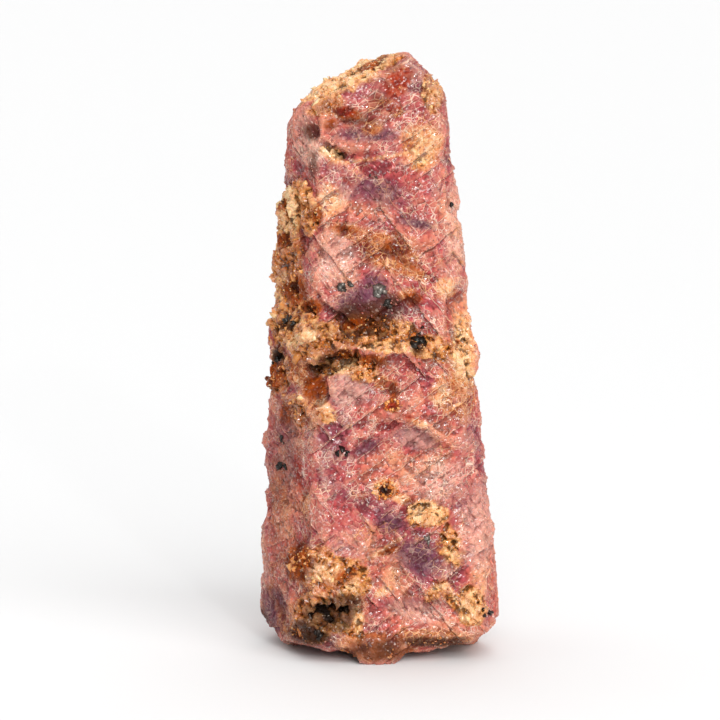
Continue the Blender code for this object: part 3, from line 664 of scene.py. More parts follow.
@dataclass(frozen=True)
class ZoneRims:
    """Breaks up the rims of the zones, so that one kind of ground runs into the next in tongues.

    Attributes:
        halfway: the cover at which a zone ends.
        faintest: a cover under which a zone is left out.
        apart: how far the zones' noises are from each other.
    """

    halfway: float = 0.4
    faintest: float = 0.12
    apart: float = 37.0

    def tree(self) -> NodeTree:
        """Builds the node tree that works on the attribute of each zone."""
        tree, graph, geometry = geometry_tree("zone_rims")
        rest = graph.add("GeometryNodeInputNamedAttribute", {"Name": "rest"}, data_type="FLOAT_VECTOR")
        for number, (zone, rim) in enumerate(RIMS.items()):
            cover = graph.add("GeometryNodeInputNamedAttribute", {"Name": zone.value}, data_type="FLOAT")
            place = graph.add("VectorMath", (rest, (self.apart * number, 0.0, 0.0)), operation="ADD")
            ragged = graph.add("TexNoise", {"Vector": place, "Scale": 1.0 / rim.tongue, "Detail": 4.0,
                                            "Roughness": 0.6})
            shift = graph.add("Math", (ragged, rim.raggedness, -0.5 * rim.raggedness),
                              operation="MULTIPLY_ADD")
            summed = graph.add("Math", (cover, shift), operation="ADD")
            mask = graph.add("MapRange", (summed, self.halfway - rim.softness,
                                          self.halfway + rim.softness), interpolation_type="SMOOTHSTEP")
            present = graph.add("MapRange", (cover, 0.0, self.faintest))
            mask = graph.add("Math", (mask, present), operation="MULTIPLY")
            geometry = graph.add("GeometryNodeStoreNamedAttribute", {"Geometry": geometry,
                                                                     "Name": zone.value, "Value": mask},
                                 data_type="FLOAT", domain="POINT")
        graph.add("NodeGroupOutput", (geometry,))
        return tree


def geometry_tree(name: str) -> tuple[NodeTree, Graph, Socket]:
    """A new tree for a modifier, its graph, and the mesh that comes in."""
    tree = bpy.data.node_groups.new(name, "GeometryNodeTree")
    tree.interface.new_socket("Geometry", in_out="INPUT", socket_type="NodeSocketGeometry")
    tree.interface.new_socket("Geometry", in_out="OUTPUT", socket_type="NodeSocketGeometry")
    graph = Graph(tree)
    return tree, graph, graph.add("NodeGroupInput")


@dataclass(frozen=True)
class SkinRelief:
    """The fine relief that is pushed out of, or sunk into, the skin.

    Attributes:
        slab: width of the wide plates that the stone parts into.
        slab_slope, ledge_slope, block_slope, splinter_slope: how steeply each kind of top leans.
        crack_width, crack_depth: the cracks round the blocks.
        crust_size, crust_range, crust_rise: width of the crust's lumps, the noise at which they are
            lowest and highest, and how high they rise.
        crumbs: the width of the crust's crumbs and how steeply their tops lean.
        pore_size, pore_range, pore_depth: how far the crust's pores are apart, where their floor ends
            and their rim is, as a share of that, and how deep they are.
        pore_chance: the chance at which a pore begins to show and is full.
    """

    slab: float = 2.3
    slab_slope: float = 0.05
    ledge_slope: float = 0.1
    block_slope: float = 0.26
    splinter_slope: float = 0.15
    crack_width: float = 0.1
    crack_depth: float = 0.035
    crust_size: float = 1.5
    crust_range: Span = (0.25, 0.75)
    crust_rise: float = 0.3
    crumbs: tuple[Span, ...] = ((1.3, 0.5), (0.6, 0.55))
    pore_size: float = 1.0
    pore_range: Span = (0.08, 0.3)
    pore_depth: float = 0.5
    pore_chance: Span = (-0.1, 0.4)

    def tree(self) -> NodeTree:
        """Builds the node tree that moves the skin's points along their normals."""
        tree, graph, geometry = geometry_tree("skin_relief")
        rest = graph.add("GeometryNodeInputNamedAttribute", {"Name": "rest"}, data_type="FLOAT_VECTOR")
        crust = graph.add("GeometryNodeInputNamedAttribute", {"Name": Zone.CRUST.value},
                          data_type="FLOAT")
        bent = CELLS.bent(graph, rest)
        height = graph.add("Mix", {0: crust, 2: self.on_ruby(graph, rest, bent),
                                             3: self.on_crust(graph, rest, bent)}, data_type="FLOAT")
        normal = graph.add("GeometryNodeInputNormal")
        scaled = graph.add("Math", (height, METRES), operation="MULTIPLY")
        offset = graph.add("VectorMath", {0: normal, "Scale": scaled}, operation="SCALE")
        moved = graph.add("GeometryNodeSetPosition", {"Geometry": geometry, "Offset": offset})
        graph.add("NodeGroupOutput", (moved,))
        return tree

    def on_ruby(self, graph: Graph, rest: Socket, bent: Socket) -> Socket:
        """The relief of the clear stone: leaning tops, parting steps and cracks."""
        height = CELLS.tilted_top(graph, bent, CELLS.block, self.block_slope)
        for size, slope in ((CELLS.splinter, self.splinter_slope), (self.slab, self.slab_slope)):
            top = CELLS.tilted_top(graph, bent, size, slope)
            height = graph.add("Math", (height, top), operation="ADD")
        across = graph.add("SeparateXYZ", (bent,), "Z")
        shingle = graph.add("Math", (CELLS.step(graph, bent, "W"), across), operation="SUBTRACT")
        for share in (self.ledge_slope, CELLS.stepped(graph, rest)):
            shingle = graph.add("Math", (shingle, share), operation="MULTIPLY")
        crack = graph.add("MapRange", (CELLS.edge(graph, bent, CELLS.block), 0.0, self.crack_width,
                                       -self.crack_depth, 0.0), interpolation_type="SMOOTHSTEP")
        for part in (shingle, crack):
            height = graph.add("Math", (height, part), operation="ADD")
        return height

    def on_crust(self, graph: Graph, rest: Socket, bent: Socket) -> Socket:
        """The relief of the crust: lumps, pores and crumbs."""
        lumps = graph.add("TexNoise", {"Vector": rest, "Scale": 1.0 / self.crust_size, "Detail": 4.0,
                                       "Roughness": 0.62})
        height = graph.add("MapRange", (lumps, *self.crust_range, -0.5 * self.crust_rise,
                                        self.crust_rise))
        pores = graph.add("TexVoronoi", {"Vector": bent, "Scale": 1.0 / self.pore_size}, "Distance")
        pores = graph.add("MapRange", (pores, *self.pore_range, -self.pore_depth, 0.0))
        chosen = graph.add("SeparateXYZ", (CELLS.lean(graph, bent, self.pore_size),), "X")
        chosen = graph.add("MapRange", (chosen, *self.pore_chance))
        pores = graph.add("Math", (pores, chosen), operation="MULTIPLY")
        crumbs = [CELLS.tilted_top(graph, bent, size, slope) for size, slope in self.crumbs]
        for part in (pores, *crumbs):
            height = graph.add("Math", (height, part), operation="ADD")
        return height


@dataclass(frozen=True)
class Line:
    """How a crack is drawn: full this near to it, gone this far from it, and how strong."""

    full: float
    gone: float
    strength: float

    def drawn(self, graph: Graph, distance: Socket) -> Socket:
        """The line's strength at each place."""
        return graph.add("MapRange", (distance, self.full, self.gone, self.strength, 0.0))


class StoneGraph(Graph):
    """The node tree of the stone's material, with what most of its layers ask for.

    Attributes:
        rest, bent: the stone's own coordinates, straight and bent as the cracks are.
        zones: how far each kind of ground covers a place.
        hollow: above 0 in a hollow, and below 0 on a ridge.
        blotches: from 0 to 1 in small blotches, for stains that took unevenly.
        grit: fine noise, for ground that is made of grains.
        brown: how dark brown a place is: stained, and painted shade on the umber's patches at the foot.
        faint: how clearly lines, wear with its painted highlight, and specks show, which is less on the
            violet.
        cavity_shade: how far the darkest painted shade covers a place in the cavities, most of all deep
            down.
    """

    blotch_size: float = 1.1
    blotch_range: Span = (0.38, 0.6)
    grit_size: float = 0.5
    least_clear: float = 0.45
    deep_from: float = 0.5
    least_deep: float = 0.7

    def __init__(self, tree: NodeTree) -> None:
        """Starts the tree with the coordinates, the zones and the noises."""
        super().__init__(tree)
        self.rest = self.add("Attribute", out="Vector", attribute_name="rest")
        self.bent = CELLS.bent(self, self.rest)
        self.zones = {zone: self.add("Attribute", out="Fac", attribute_name=zone.value) for zone in Zone}
        self.hollow = self.add("Attribute", out="Fac", attribute_name="hollow")
        blotches = self.add("TexNoise", {"Vector": self.rest, "Scale": 1.0 / self.blotch_size,
                                         "Detail": 3.0})
        self.blotches = self.add("MapRange", (blotches, *self.blotch_range))
        self.grit = self.add("TexNoise", {"Vector": self.rest, "Scale": 1.0 / self.grit_size,
                                          "Detail": 6.0, "Roughness": 0.7})
        # Brown stains; on the umber's patches along the foot this is painted shade.
        self.brown = self.add("Math", (self.zones[Zone.UMBER], self.zones[Zone.AMBER]),
                              operation="MAXIMUM")
        self.faint = self.add("MapRange", (self.zones[Zone.VIOLET], 0.0, 1.0, 1.0, self.least_clear))
        # The darkest painted shade: the cavity zone, strongest deep in the recesses.
        deep = self.add("Attribute", out="Fac", attribute_name="deep")
        deep = self.add("MapRange", (deep, 0.0, self.deep_from, self.least_deep))
        self.cavity_shade = self.add("Math", (self.zones[Zone.CAVITY_SHADE], deep), operation="MULTIPLY")

    def share(self, zone: Zone, most: float) -> Socket:
        """How much of a zone's look each place gets, from 0 to most."""
        return self.add("Math", (self.zones[zone], most), operation="MULTIPLY")

    def covered(self, colour: Socket, *coats: tuple[Socket, Socket | str]) -> Socket:
        """Lays coats over a colour, one after the other.

        Args:
            colour: what is under them.
            coats: for each, how much of a place it hides, and its colour or hex colour.

        Returns:
            The colour that shows.
        """
        for hides, coat in coats:
            top = linear(coat) if isinstance(coat, str) else coat
            colour = self.add("Mix", {0: hides, 6: colour, 7: top}, 2, data_type="RGBA")
        return colour

    def blotched(self, dark: str, bright: str) -> Socket:
        """A stain in two hex colours that took unevenly."""
        return self.add("Mix", {0: self.blotches, 6: linear(dark), 7: linear(bright)}, 2,
                        data_type="RGBA")

    def chance(self, size: float, part: str) -> Socket:
        """A number from 0 to 1 that is the same all over a small cell, from one part of its colour."""
        cell = self.add("TexVoronoi", {"Vector": self.bent, "Scale": 1.0 / size}, "Color")
        return self.add("SeparateColor", (cell,), part)


@dataclass(frozen=True)
class StainedCorundum:
    """Rough corundum, broken along its parting and stained by iron.

    To the eye it is a cloudy pink stone under a web of pale cracks, each little block of which
    catches the light its own way. Iron has soaked into the cracks in places.

    Attributes:
        roughness, weathered: of a fresh break, and of the weathered skin.
        dull: how much light the weathered skin throws back, where a fresh break gives 1.
        tints: a zone, its colour in the clear stone, and how far it hides the clouds.
        block_light, splinter_light: how much each block or splinter darkens or lightens.
        block_painted_light: painted light and shade: how fast each block goes from dark to light across
            its top, the way its top leans.
        wide, fine, hair, brink_highlight: the cracks round blocks and splinters, the drawn-out hairs,
            and the
        pale line along the parting steps' edges, which is a painted highlight. Real cracks are thinner
        than these, which are as thin as shows.
        gap_range, gap_cover: where the web breaks off, and how faint and strong it gets.
        netted, calmest: how strong the web is on the iron stain, and on calm ground.
        iron_range: where iron has soaked into the cracks.
        honey, tan, cream: the colours of creamy stone, of the crust and of creamy crust.
        marks, mark_share: a zone and its dark and bright stain, and how far that hides. On the umber's
            patches along the foot the stain is also painted shade.
        dirt_and_shade_range, dirt_and_shade_most: dirt with painted shade in the hollows: how hollow a
        place is where it begins and is thickest, and how far it
            hides the stone and the crust.
        wear_and_highlight_range, wear_and_highlight_most: the same for wear with a painted highlight on
        ridges.
        speck_and_glint_range, speck_and_glint_most: which few cells are pale broken specks, which also
        stand in as painted glints, and how far they hide.
        tilt_size, tilt: the smallest facets, and how far they and the splinters lean.
        fresh_range: which few cells are fresh breaks.
        matt, vein_gloss: how far stains dull a fresh break, and how glossy the cracks are.
        ridge, ridge_share: how far the cracks stand out, and how fully.
        depth, depth_share: how deep red, green and blue light go in, and how much of it does.
    """

    name: str = "rough_corundum_broken"
    ior: float = 1.768
    roughness: float = 0.12
    weathered: float = 0.42
    dull: float = 0.05
    cloud_size: float = 4.6
    pinks: Stops = ((0.38, "#88444E"), (0.47, "#A64C50"), (0.55, "#B86054"), (0.64, "#CA8266"))
    tints: tuple[tuple[Zone, str, float], ...] = (
        (Zone.ROSE, "#AA4A4A", 0.8), (Zone.VIOLET, "#5C3648", 0.9), (Zone.PALE, "#CE9486", 0.75))
    saturation: float = 1.04
    block_light: Span = (0.86, 1.14)
    splinter_light: Span = (0.88, 1.12)
    # Painted light and shade: each block's top goes from darker to lighter the way it leans.
    block_painted_light: float = 1.5
    rust: tuple[str, str] = ("#6E2808", "#B05A1C")
    rust_share: float = 0.8
    cream_share: float = 0.8
    wide: Line = Line(0.01, 0.046, 1.0)
    fine: Line = Line(0.004, 0.03, 0.5)
    hair: Line = Line(0.01, 0.05, 0.5)
    # A pale line along each parting step's edge, which is a painted highlight.
    brink_highlight: Line = Line(0.012, 0.035, 0.8)
    hair_size: float = 0.4
    hair_stretch: Place = (0.3, 0.8, 1.25)
    gap_size: float = 1.6
    gap_range: Span = (0.45, 0.62)
    gap_cover: Span = (0.04, 0.88)
    netted: float = 0.9
    calmest: float = 0.2
    iron_size: float = 2.6
    iron_range: Span = (0.46, 0.62)
    vein: str = "#F6D0B8"
    iron_vein: str = "#ECA466"
    cream_vein: str = "#F8DEB8"
    honey: Stops = ((0.38, "#C06A34"), (0.5, "#E89E60"), (0.62, "#F8C494"))
    tan: Stops = ((0.34, "#5A2208"), (0.44, "#A0541C"), (0.52, "#CE8440"), (0.64, "#F2B878"))
    cream: Stops = ((0.34, "#A25E26"), (0.44, "#E09E5E"), (0.54, "#F8C68C"), (0.68, "#FEE4BE"))
    marks: tuple[tuple[Zone, str, str], ...] = (
        # The umber's stain, which along the foot is also painted shade.
        (Zone.UMBER, "#3A1A0C", "#4E2614"), (Zone.AMBER, "#581C00", "#A44604"),
        (Zone.BLOOD, "#741A0E", "#A43218"))
    mark_share: float = 0.9
    # Dirt and painted shade: darker in the hollows.
    dirt_and_shade_range: Span = (0.04, 0.62)
    dirt_and_shade_most: Span = (0.55, 0.78)
    earth_and_shade: str = "#561A1C"
    crust_earth_and_shade: str = "#42200C"
    # Wear and a painted highlight on the ridges.
    wear_and_highlight: str = "#F0B898"
    wear_and_highlight_range: Span = (-0.1, -0.7)
    wear_and_highlight_most: float = 0.24
    # The darkest painted shade, deep in the cavities.
    cavity_shade: str = "#1C0F08"
    # Pale broken specks, which also stand in as painted glints.
    speck_and_glint: str = "#FAE0CC"
    speck_and_glint_size: float = 0.13
    speck_and_glint_range: Span = (0.975, 0.985)
    speck_and_glint_most: float = 0.4
    tilt_size: float = 0.17
    tilt: float = 0.3
    fresh_size: float = 0.16
    fresh_range: Span = (0.8, 0.86)
    matt: float = 0.85
    vein_gloss: float = 0.55
    ridge: float = 0.045
    ridge_share: float = 0.9
    depth: Place = (1.0, 0.35, 0.25)
    depth_share: float = 0.18

    def make(self) -> Material:
        """Builds the skin's material."""
        material = bpy.data.materials.new(self.name)
        material.use_nodes = True
        graph = StoneGraph(material.node_tree)
        rust = graph.share(Zone.RUST, self.rust_share)
        cream = graph.share(Zone.CREAM, self.cream_share)
        stain = graph.blotched(*self.rust)
        honey, tan, creamy = (graph.add("ValToRGB", (graph.grit,), stops=stops)
                              for stops in (self.honey, self.tan, self.cream))
        crust = graph.covered(tan, (rust, stain), (cream, creamy))
        veins = self.veins(graph)
        colour = graph.covered(self.ruby(graph), (rust, stain), (cream, honey),
                               (veins, self.vein_colour(graph, cream)),
                               (graph.zones[Zone.CRUST], crust))
        for zone, dark, bright in self.marks:
            mark = graph.blotched(dark, bright)
            colour = graph.covered(colour, (graph.share(zone, self.mark_share), mark))
        fresh = self.fresh(graph, veins)
        rough = graph.add("MapRange", (fresh, 0.0, 1.0, self.weathered, self.roughness))
        glint = graph.add("MapRange", (fresh, 0.0, 1.0, self.dull, 1.0))
        shader = graph.add("BsdfPrincipled",
                           {"Base Color": self.soiled_and_shaded(graph, colour), "Roughness": rough,
                            "IOR": self.ior, "Specular IOR Level": glint,
                            "Normal": self.normal(graph, veins), "Subsurface Weight": self.depth_share,
                            "Subsurface Radius": self.depth, "Subsurface Scale": DEPTH_UNIT})
        graph.add("OutputMaterial", {"Surface": shader})
        return material

    def ruby(self, graph: StoneGraph) -> Socket:
        """The clear stone, in clouds of its pinks, each block and splinter a little its own, and each
        block's top painted from darker to lighter the way it leans, as painted light and shade.
        """
        clouds = graph.add("TexNoise", {"Vector": graph.rest, "Scale": 1.0 / self.cloud_size,
                                        "Detail": 4.0, "Roughness": 0.55})
        colour = graph.add("ValToRGB", (clouds,), stops=self.pinks)
        for zone, tint, most in self.tints:
            colour = graph.covered(colour, (graph.share(zone, most), tint))
        block = graph.add("MapRange", (graph.chance(CELLS.block, "Red"), 0.0, 1.0, *self.block_light))
        splinter = graph.chance(CELLS.splinter, "Green")
        splinter = graph.add("MapRange", (splinter, 0.0, 1.0, *self.splinter_light))
        light = graph.add("Math", (block, splinter), operation="MULTIPLY")
        # Painted light and shade: each block's top goes from darker to lighter along the way its relief
        # leans.
        fade = CELLS.tilted_top(graph, graph.bent, CELLS.block, self.block_painted_light)
        light = graph.add("Math", (light, fade), operation="ADD")
        return graph.add("HueSaturation", {"Color": colour, "Value": light,
                                           "Saturation": self.saturation})

    def veins(self, graph: StoneGraph) -> Socket:
        """How clearly the pale cracks, and the pale lines painted as highlights along the parting steps,
        show at each place, from 0 to 1.
        """
        wide = self.wide.drawn(graph, CELLS.edge(graph, graph.bent, CELLS.block))
        fine = self.fine.drawn(graph, CELLS.edge(graph, graph.bent, CELLS.splinter))
        fine = graph.add("Math", (fine, graph.blotches), operation="MULTIPLY")
        veins = graph.add("Math", (wide, fine), operation="MAXIMUM")
        gaps = graph.add("TexNoise", {"Vector": graph.rest, "Scale": 1.0 / self.gap_size, "Detail": 3.0,
                                      "Roughness": 0.6})
        gaps = graph.add("MapRange", (gaps, *self.gap_range, *self.gap_cover))
        gaps = graph.add("Math", (gaps, graph.share(Zone.RUST, self.netted)), operation="MAXIMUM")
        veins = graph.add("Math", (veins, gaps), operation="MULTIPLY")
        drawn = graph.add("VectorMath", (graph.bent, self.hair_stretch), operation="MULTIPLY")
        hair = self.hair.drawn(graph, CELLS.edge(graph, drawn, self.hair_size))
        # A pale line along each parting step's edge: a painted highlight.
        brink_highlight = self.brink_highlight.drawn(graph, CELLS.step(graph, graph.bent, "Distance"))
        for lines, where in ((hair, graph.zones[Zone.PALE]), (brink_highlight, CELLS.stepped(graph, graph.rest))):
            lines = graph.add("Math", (lines, where), operation="MULTIPLY")
            veins = graph.add("Math", (veins, lines), operation="MAXIMUM")
        busy = graph.add("MapRange", (graph.zones[Zone.CALM], 0.0, 1.0, 1.0, self.calmest))
        for kept in (busy, graph.faint):
            veins = graph.add("Math", (veins, kept), operation="MULTIPLY")
        return veins

    def vein_colour(self, graph: StoneGraph, cream: Socket) -> Socket:
        """The colour of the cracks: pale, orange where iron soaked in, and cream on creamy ground."""
        iron = graph.add("TexNoise", {"Vector": graph.rest, "Scale": 1.0 / self.iron_size, "Detail": 4.0,
                                      "Roughness": 0.7})
        iron = graph.add("MapRange", (iron, *self.iron_range))
        iron = graph.add("Math", (iron, graph.zones[Zone.RUST]), operation="MAXIMUM")
        colour = graph.add("Mix", {0: iron, 6: linear(self.vein), 7: linear(self.iron_vein)}, 2,
                           data_type="RGBA")
        return graph.covered(colour, (cream, self.cream_vein))

    def soiled_and_shaded(self, graph: StoneGraph, colour: Socket) -> Socket:
        """Puts dirt and painted shade in the hollows, wear and a painted highlight on the ridges, the
        darkest painted shade deep in the cavities, and pale broken specks that also stand in as painted
        glints.
        """
        crust = graph.zones[Zone.CRUST]
        most = graph.add("MapRange", (crust, 0.0, 1.0, *self.dirt_and_shade_most))
        # Dirt and painted shade: darker in the hollows, most of all in the crust's gaps.
        dirt_and_shade = graph.add("MapRange", (graph.hollow, *self.dirt_and_shade_range, 0.0, most))
        earth_and_shade = graph.add("Mix", {0: crust, 6: linear(self.earth_and_shade), 7: linear(self.crust_earth_and_shade)}, 2,
                          data_type="RGBA")
        # Wear and a painted highlight: paler on the ridges.
        worn_and_lit = graph.add("MapRange", (graph.hollow, *self.wear_and_highlight_range, 0.0, self.wear_and_highlight_most))
        unstained = graph.add("Math", (1.0, graph.brown), operation="SUBTRACT")
        for kept in (graph.faint, unstained):
            worn_and_lit = graph.add("Math", (worn_and_lit, kept), operation="MULTIPLY")
        # Pale specks, which also stand in as painted glints.
        speck_and_glint = graph.chance(self.speck_and_glint_size, "Blue")
        speck_and_glint = graph.add("MapRange", (speck_and_glint, *self.speck_and_glint_range, 0.0, self.speck_and_glint_most))
        speck_and_glint = graph.add("Math", (speck_and_glint, graph.faint), operation="MULTIPLY")
        # The darkest coat is painted shade deep in the cavities.
        return graph.covered(colour, (dirt_and_shade, earth_and_shade), (worn_and_lit, self.wear_and_highlight), (graph.cavity_shade, self.cavity_shade),
                             (speck_and_glint, self.speck_and_glint))

    def normal(self, graph: StoneGraph, veins: Socket) -> Socket:
        """The way the surface faces: each tiny facet leans its own way, and the cracks stand out."""
        facet = CELLS.lean(graph, graph.bent, self.tilt_size)
        splinter = CELLS.lean(graph, graph.bent, CELLS.splinter)
        tilt = graph.add("VectorMath", (facet, splinter), operation="ADD")
        tilt = graph.add("VectorMath", {0: tilt, "Scale": self.tilt}, operation="SCALE")
        normal = graph.add("NewGeometry", out="Normal")
        normal = graph.add("VectorMath", (normal, tilt), operation="ADD")
        normal = graph.add("VectorMath", (normal,), operation="NORMALIZE")
        return graph.add("Bump", {"Height": veins, "Strength": self.ridge_share,
                                  "Distance": self.ridge * METRES, "Normal": normal})

    def fresh(self, graph: StoneGraph, veins: Socket) -> Socket:
        """How freshly broken and glassy each place is, from 0 to 1."""
        fresh = graph.add("MapRange", (graph.chance(self.fresh_size, "Red"), *self.fresh_range))
        matt = graph.add("Math", (graph.zones[Zone.VIOLET], graph.brown), operation="MAXIMUM")
        matt = graph.add("Math", (matt, self.matt), operation="MULTIPLY")
        matt = graph.add("Math", (matt, graph.cavity_shade), operation="MAXIMUM")
        clean = graph.add("Math", (1.0, matt), operation="SUBTRACT")
        gloss = graph.add("Math", (veins, self.vein_gloss), operation="MULTIPLY")
        fresh = graph.add("Math", (fresh, gloss), operation="MAXIMUM")
        return graph.add("Math", (fresh, clean), operation="MULTIPLY")


@dataclass
class RubySkin:
    """The whole stone's skin, grown from the crystal's solid.

    Attributes:
        near_rounds, far_rounds: how far a point's close and wide surroundings go, in neighbours.
        near_depth: how deep in the close ones counts as fully hollow.
        near_share, far_share: how much each of the two tells.
        deep_range: how deep in the wide ones a recess begins and is full.
    """

    name: str = "ruby_skin"
    voxel: float = 0.14
    quick_voxel: float = 0.24
    smoothing: int = 1
    most_triangles: int = 190_000
    near_rounds: int = 6
    near_depth: float = 0.06
    far_rounds: int = 90
    near_share: float = 0.5
    far_share: float = 2.0
    deep_range: Span = (-0.02, 0.22)
    relief: SkinRelief = field(default_factory=SkinRelief)
    finish: StainedCorundum = field(default_factory=StainedCorundum)

    def build(self, solid: Object, box: Box) -> Object:
        """Makes the skin.

        Args:
            solid: the crystal's CAD node, which is left as it is.
            box: the box to stay in.

        Returns:
            The skin, fitted inside the solid's own box.
        """
        piece = bpy.data.objects.new(self.name, solid.data.copy())
        bpy.context.scene.collection.objects.link(piece)
        piece.data.materials.clear()
        self.remesh(piece)
        self.paint(piece.data, StoneMap(solid.data))
        for tree in (ZoneRims().tree(), self.relief.tree()):
            modifier = piece.modifiers.new(tree.name, "NODES")
            modifier.node_group = tree
        applied(piece)
        self.thin(piece)
        fit_inside(piece.data, box)
        self.mark_hollows(piece.data)
        piece.data.materials.append(self.finish.make())
        piece.data.shade_flat()
        return piece

    def remesh(self, piece: Object) -> None:
        """Makes the skin even and fine, and takes the coarse triangles' creases out."""
        remesh = piece.modifiers.new("even", "REMESH")
        remesh.mode = "VOXEL"
        remesh.voxel_size = self.voxel * METRES
        soften = piece.modifiers.new("soften", "SMOOTH")
        soften.factor = 0.5
        soften.iterations = self.smoothing
        applied(piece)

    def paint(self, mesh: Mesh, stone: StoneMap) -> None:
        """Stores where each zone is, and where each point was before the relief."""
        points = points_of(mesh)
        write_attribute(mesh, "rest", points)
        for zone, patches in ZONES.items():
            write_attribute(mesh, zone.value, stone.cover_all(patches, points))

    def thin(self, piece: Object) -> None:
        """Keeps most triangles where the skin is rugged, and stays under the limit."""
        piece.modifiers.new("triangles", "TRIANGULATE")
        triangles = sum(len(face.vertices) - 2 for face in piece.data.polygons)
        if triangles > self.most_triangles:
            decimate = piece.modifiers.new("thin", "DECIMATE")
            decimate.ratio = self.most_triangles / triangles
        applied(piece)

    def mark_hollows(self, mesh: Mesh) -> None:
        """Stores how hollow each place is: above 0 in a hollow, below 0 on a ridge."""
        points = points_of(mesh)
        normals = np.empty(len(mesh.vertices) * 3, np.float32)
        mesh.vertices.foreach_get("normal", normals)
        normals = normals.reshape(-1, 3)
        near, far = (((neighbour_mean(mesh, points, rounds) - points) * normals).sum(axis=1)
                     for rounds in (self.near_rounds, self.far_rounds))
        near = near / self.near_depth
        far = neighbour_mean(mesh, far, self.near_rounds)
        hollow = np.clip(self.near_share * near + self.far_share * far, -1.0, 1.0)
        write_attribute(mesh, "hollow", hollow)
        write_attribute(mesh, "deep", smooth(*self.deep_range, far))


def fit_inside(mesh: Mesh, box: Box) -> None:
    """Eases every point into the crystal's own box, and keeps it above the ground that it stands on.

    Points near a side of the box are drawn in gently, so that nothing is cut off flat.
    """
    low, high = (np.array(corner) / METRES for corner in box)
    middle = 0.5 * (low + high)
    half = 0.5 * (high - low) - BOX_MARGIN
    offset = points_of(mesh) - middle
    beyond = np.maximum(np.abs(offset) - (half - BOX_EASE), 0.0)
    eased = half - BOX_EASE + BOX_EASE * np.tanh(beyond / BOX_EASE)
    points = middle + np.where(beyond > 0.0, np.sign(offset) * eased, offset)
    height = np.maximum(middle[2] + offset[:, 2], low[2])
    points[:, 2] = np.where(offset[:, 2] < 0.0, height, points[:, 2])
    move_points(mesh, points)


@dataclass(frozen=True)
class GrainFinish:
    """Small broken mineral grains.

    To the eye they are little glassy lumps, each in its own tone, some of them stained by iron.

    Attributes:
        stops, iron_stops: the colours of clean and of stained grains, from dark to light.
        subsurface, depth: how much light goes into them, and how deep red, green and blue go.
        mottle_size, mottling: the mottles in a grain, and how far they change its tone.
    """

    name: str
    stops: Stops
    iron_stops: Stops
    ior: float = 1.55
    roughness: float = 0.16
    subsurface: float = 0.3
    metallic: float = 0.0
    specular: float = 0.4
    depth: Place = (1.0, 0.6, 0.4)
    mottle_size: float = 0.25
    mottling: float = 0.5

    def make(self) -> Material:
        """Builds the material. Each grain's own tone picks its colour."""
        material = bpy.data.materials.new(self.name)
        material.use_nodes = True
        graph = Graph(material.node_tree)
        tone = graph.add("Attribute", out="Fac", attribute_name="tone")
        place = graph.add("TexCoord", out="Object")
        mottles = graph.add("TexNoise", {"Vector": place, "Scale": 1.0 / (self.mottle_size * METRES),
                                         "Detail": 3.0})
        shift = graph.add("Math", (mottles, self.mottling, -0.5 * self.mottling),
                          operation="MULTIPLY_ADD")
        mixed = graph.add("Math", (tone, shift), operation="ADD")
        clean, stained = (graph.add("ValToRGB", (mixed,), stops=stops)
                          for stops in (self.stops, self.iron_stops))
        iron = graph.add("Attribute", out="Fac", attribute_name="iron")
        colour = graph.add("Mix", {0: iron, 6: clean, 7: stained}, 2, data_type="RGBA")
        shader = graph.add("BsdfPrincipled",
                           {"Base Color": colour, "Roughness": self.roughness, "IOR": self.ior,
                            "Metallic": self.metallic, "Specular IOR Level": self.specular,
                            "Subsurface Weight": self.subsurface, "Subsurface Radius": self.depth,
                            "Subsurface Scale": DEPTH_UNIT})
        graph.add("OutputMaterial", {"Surface": shader})
        return material


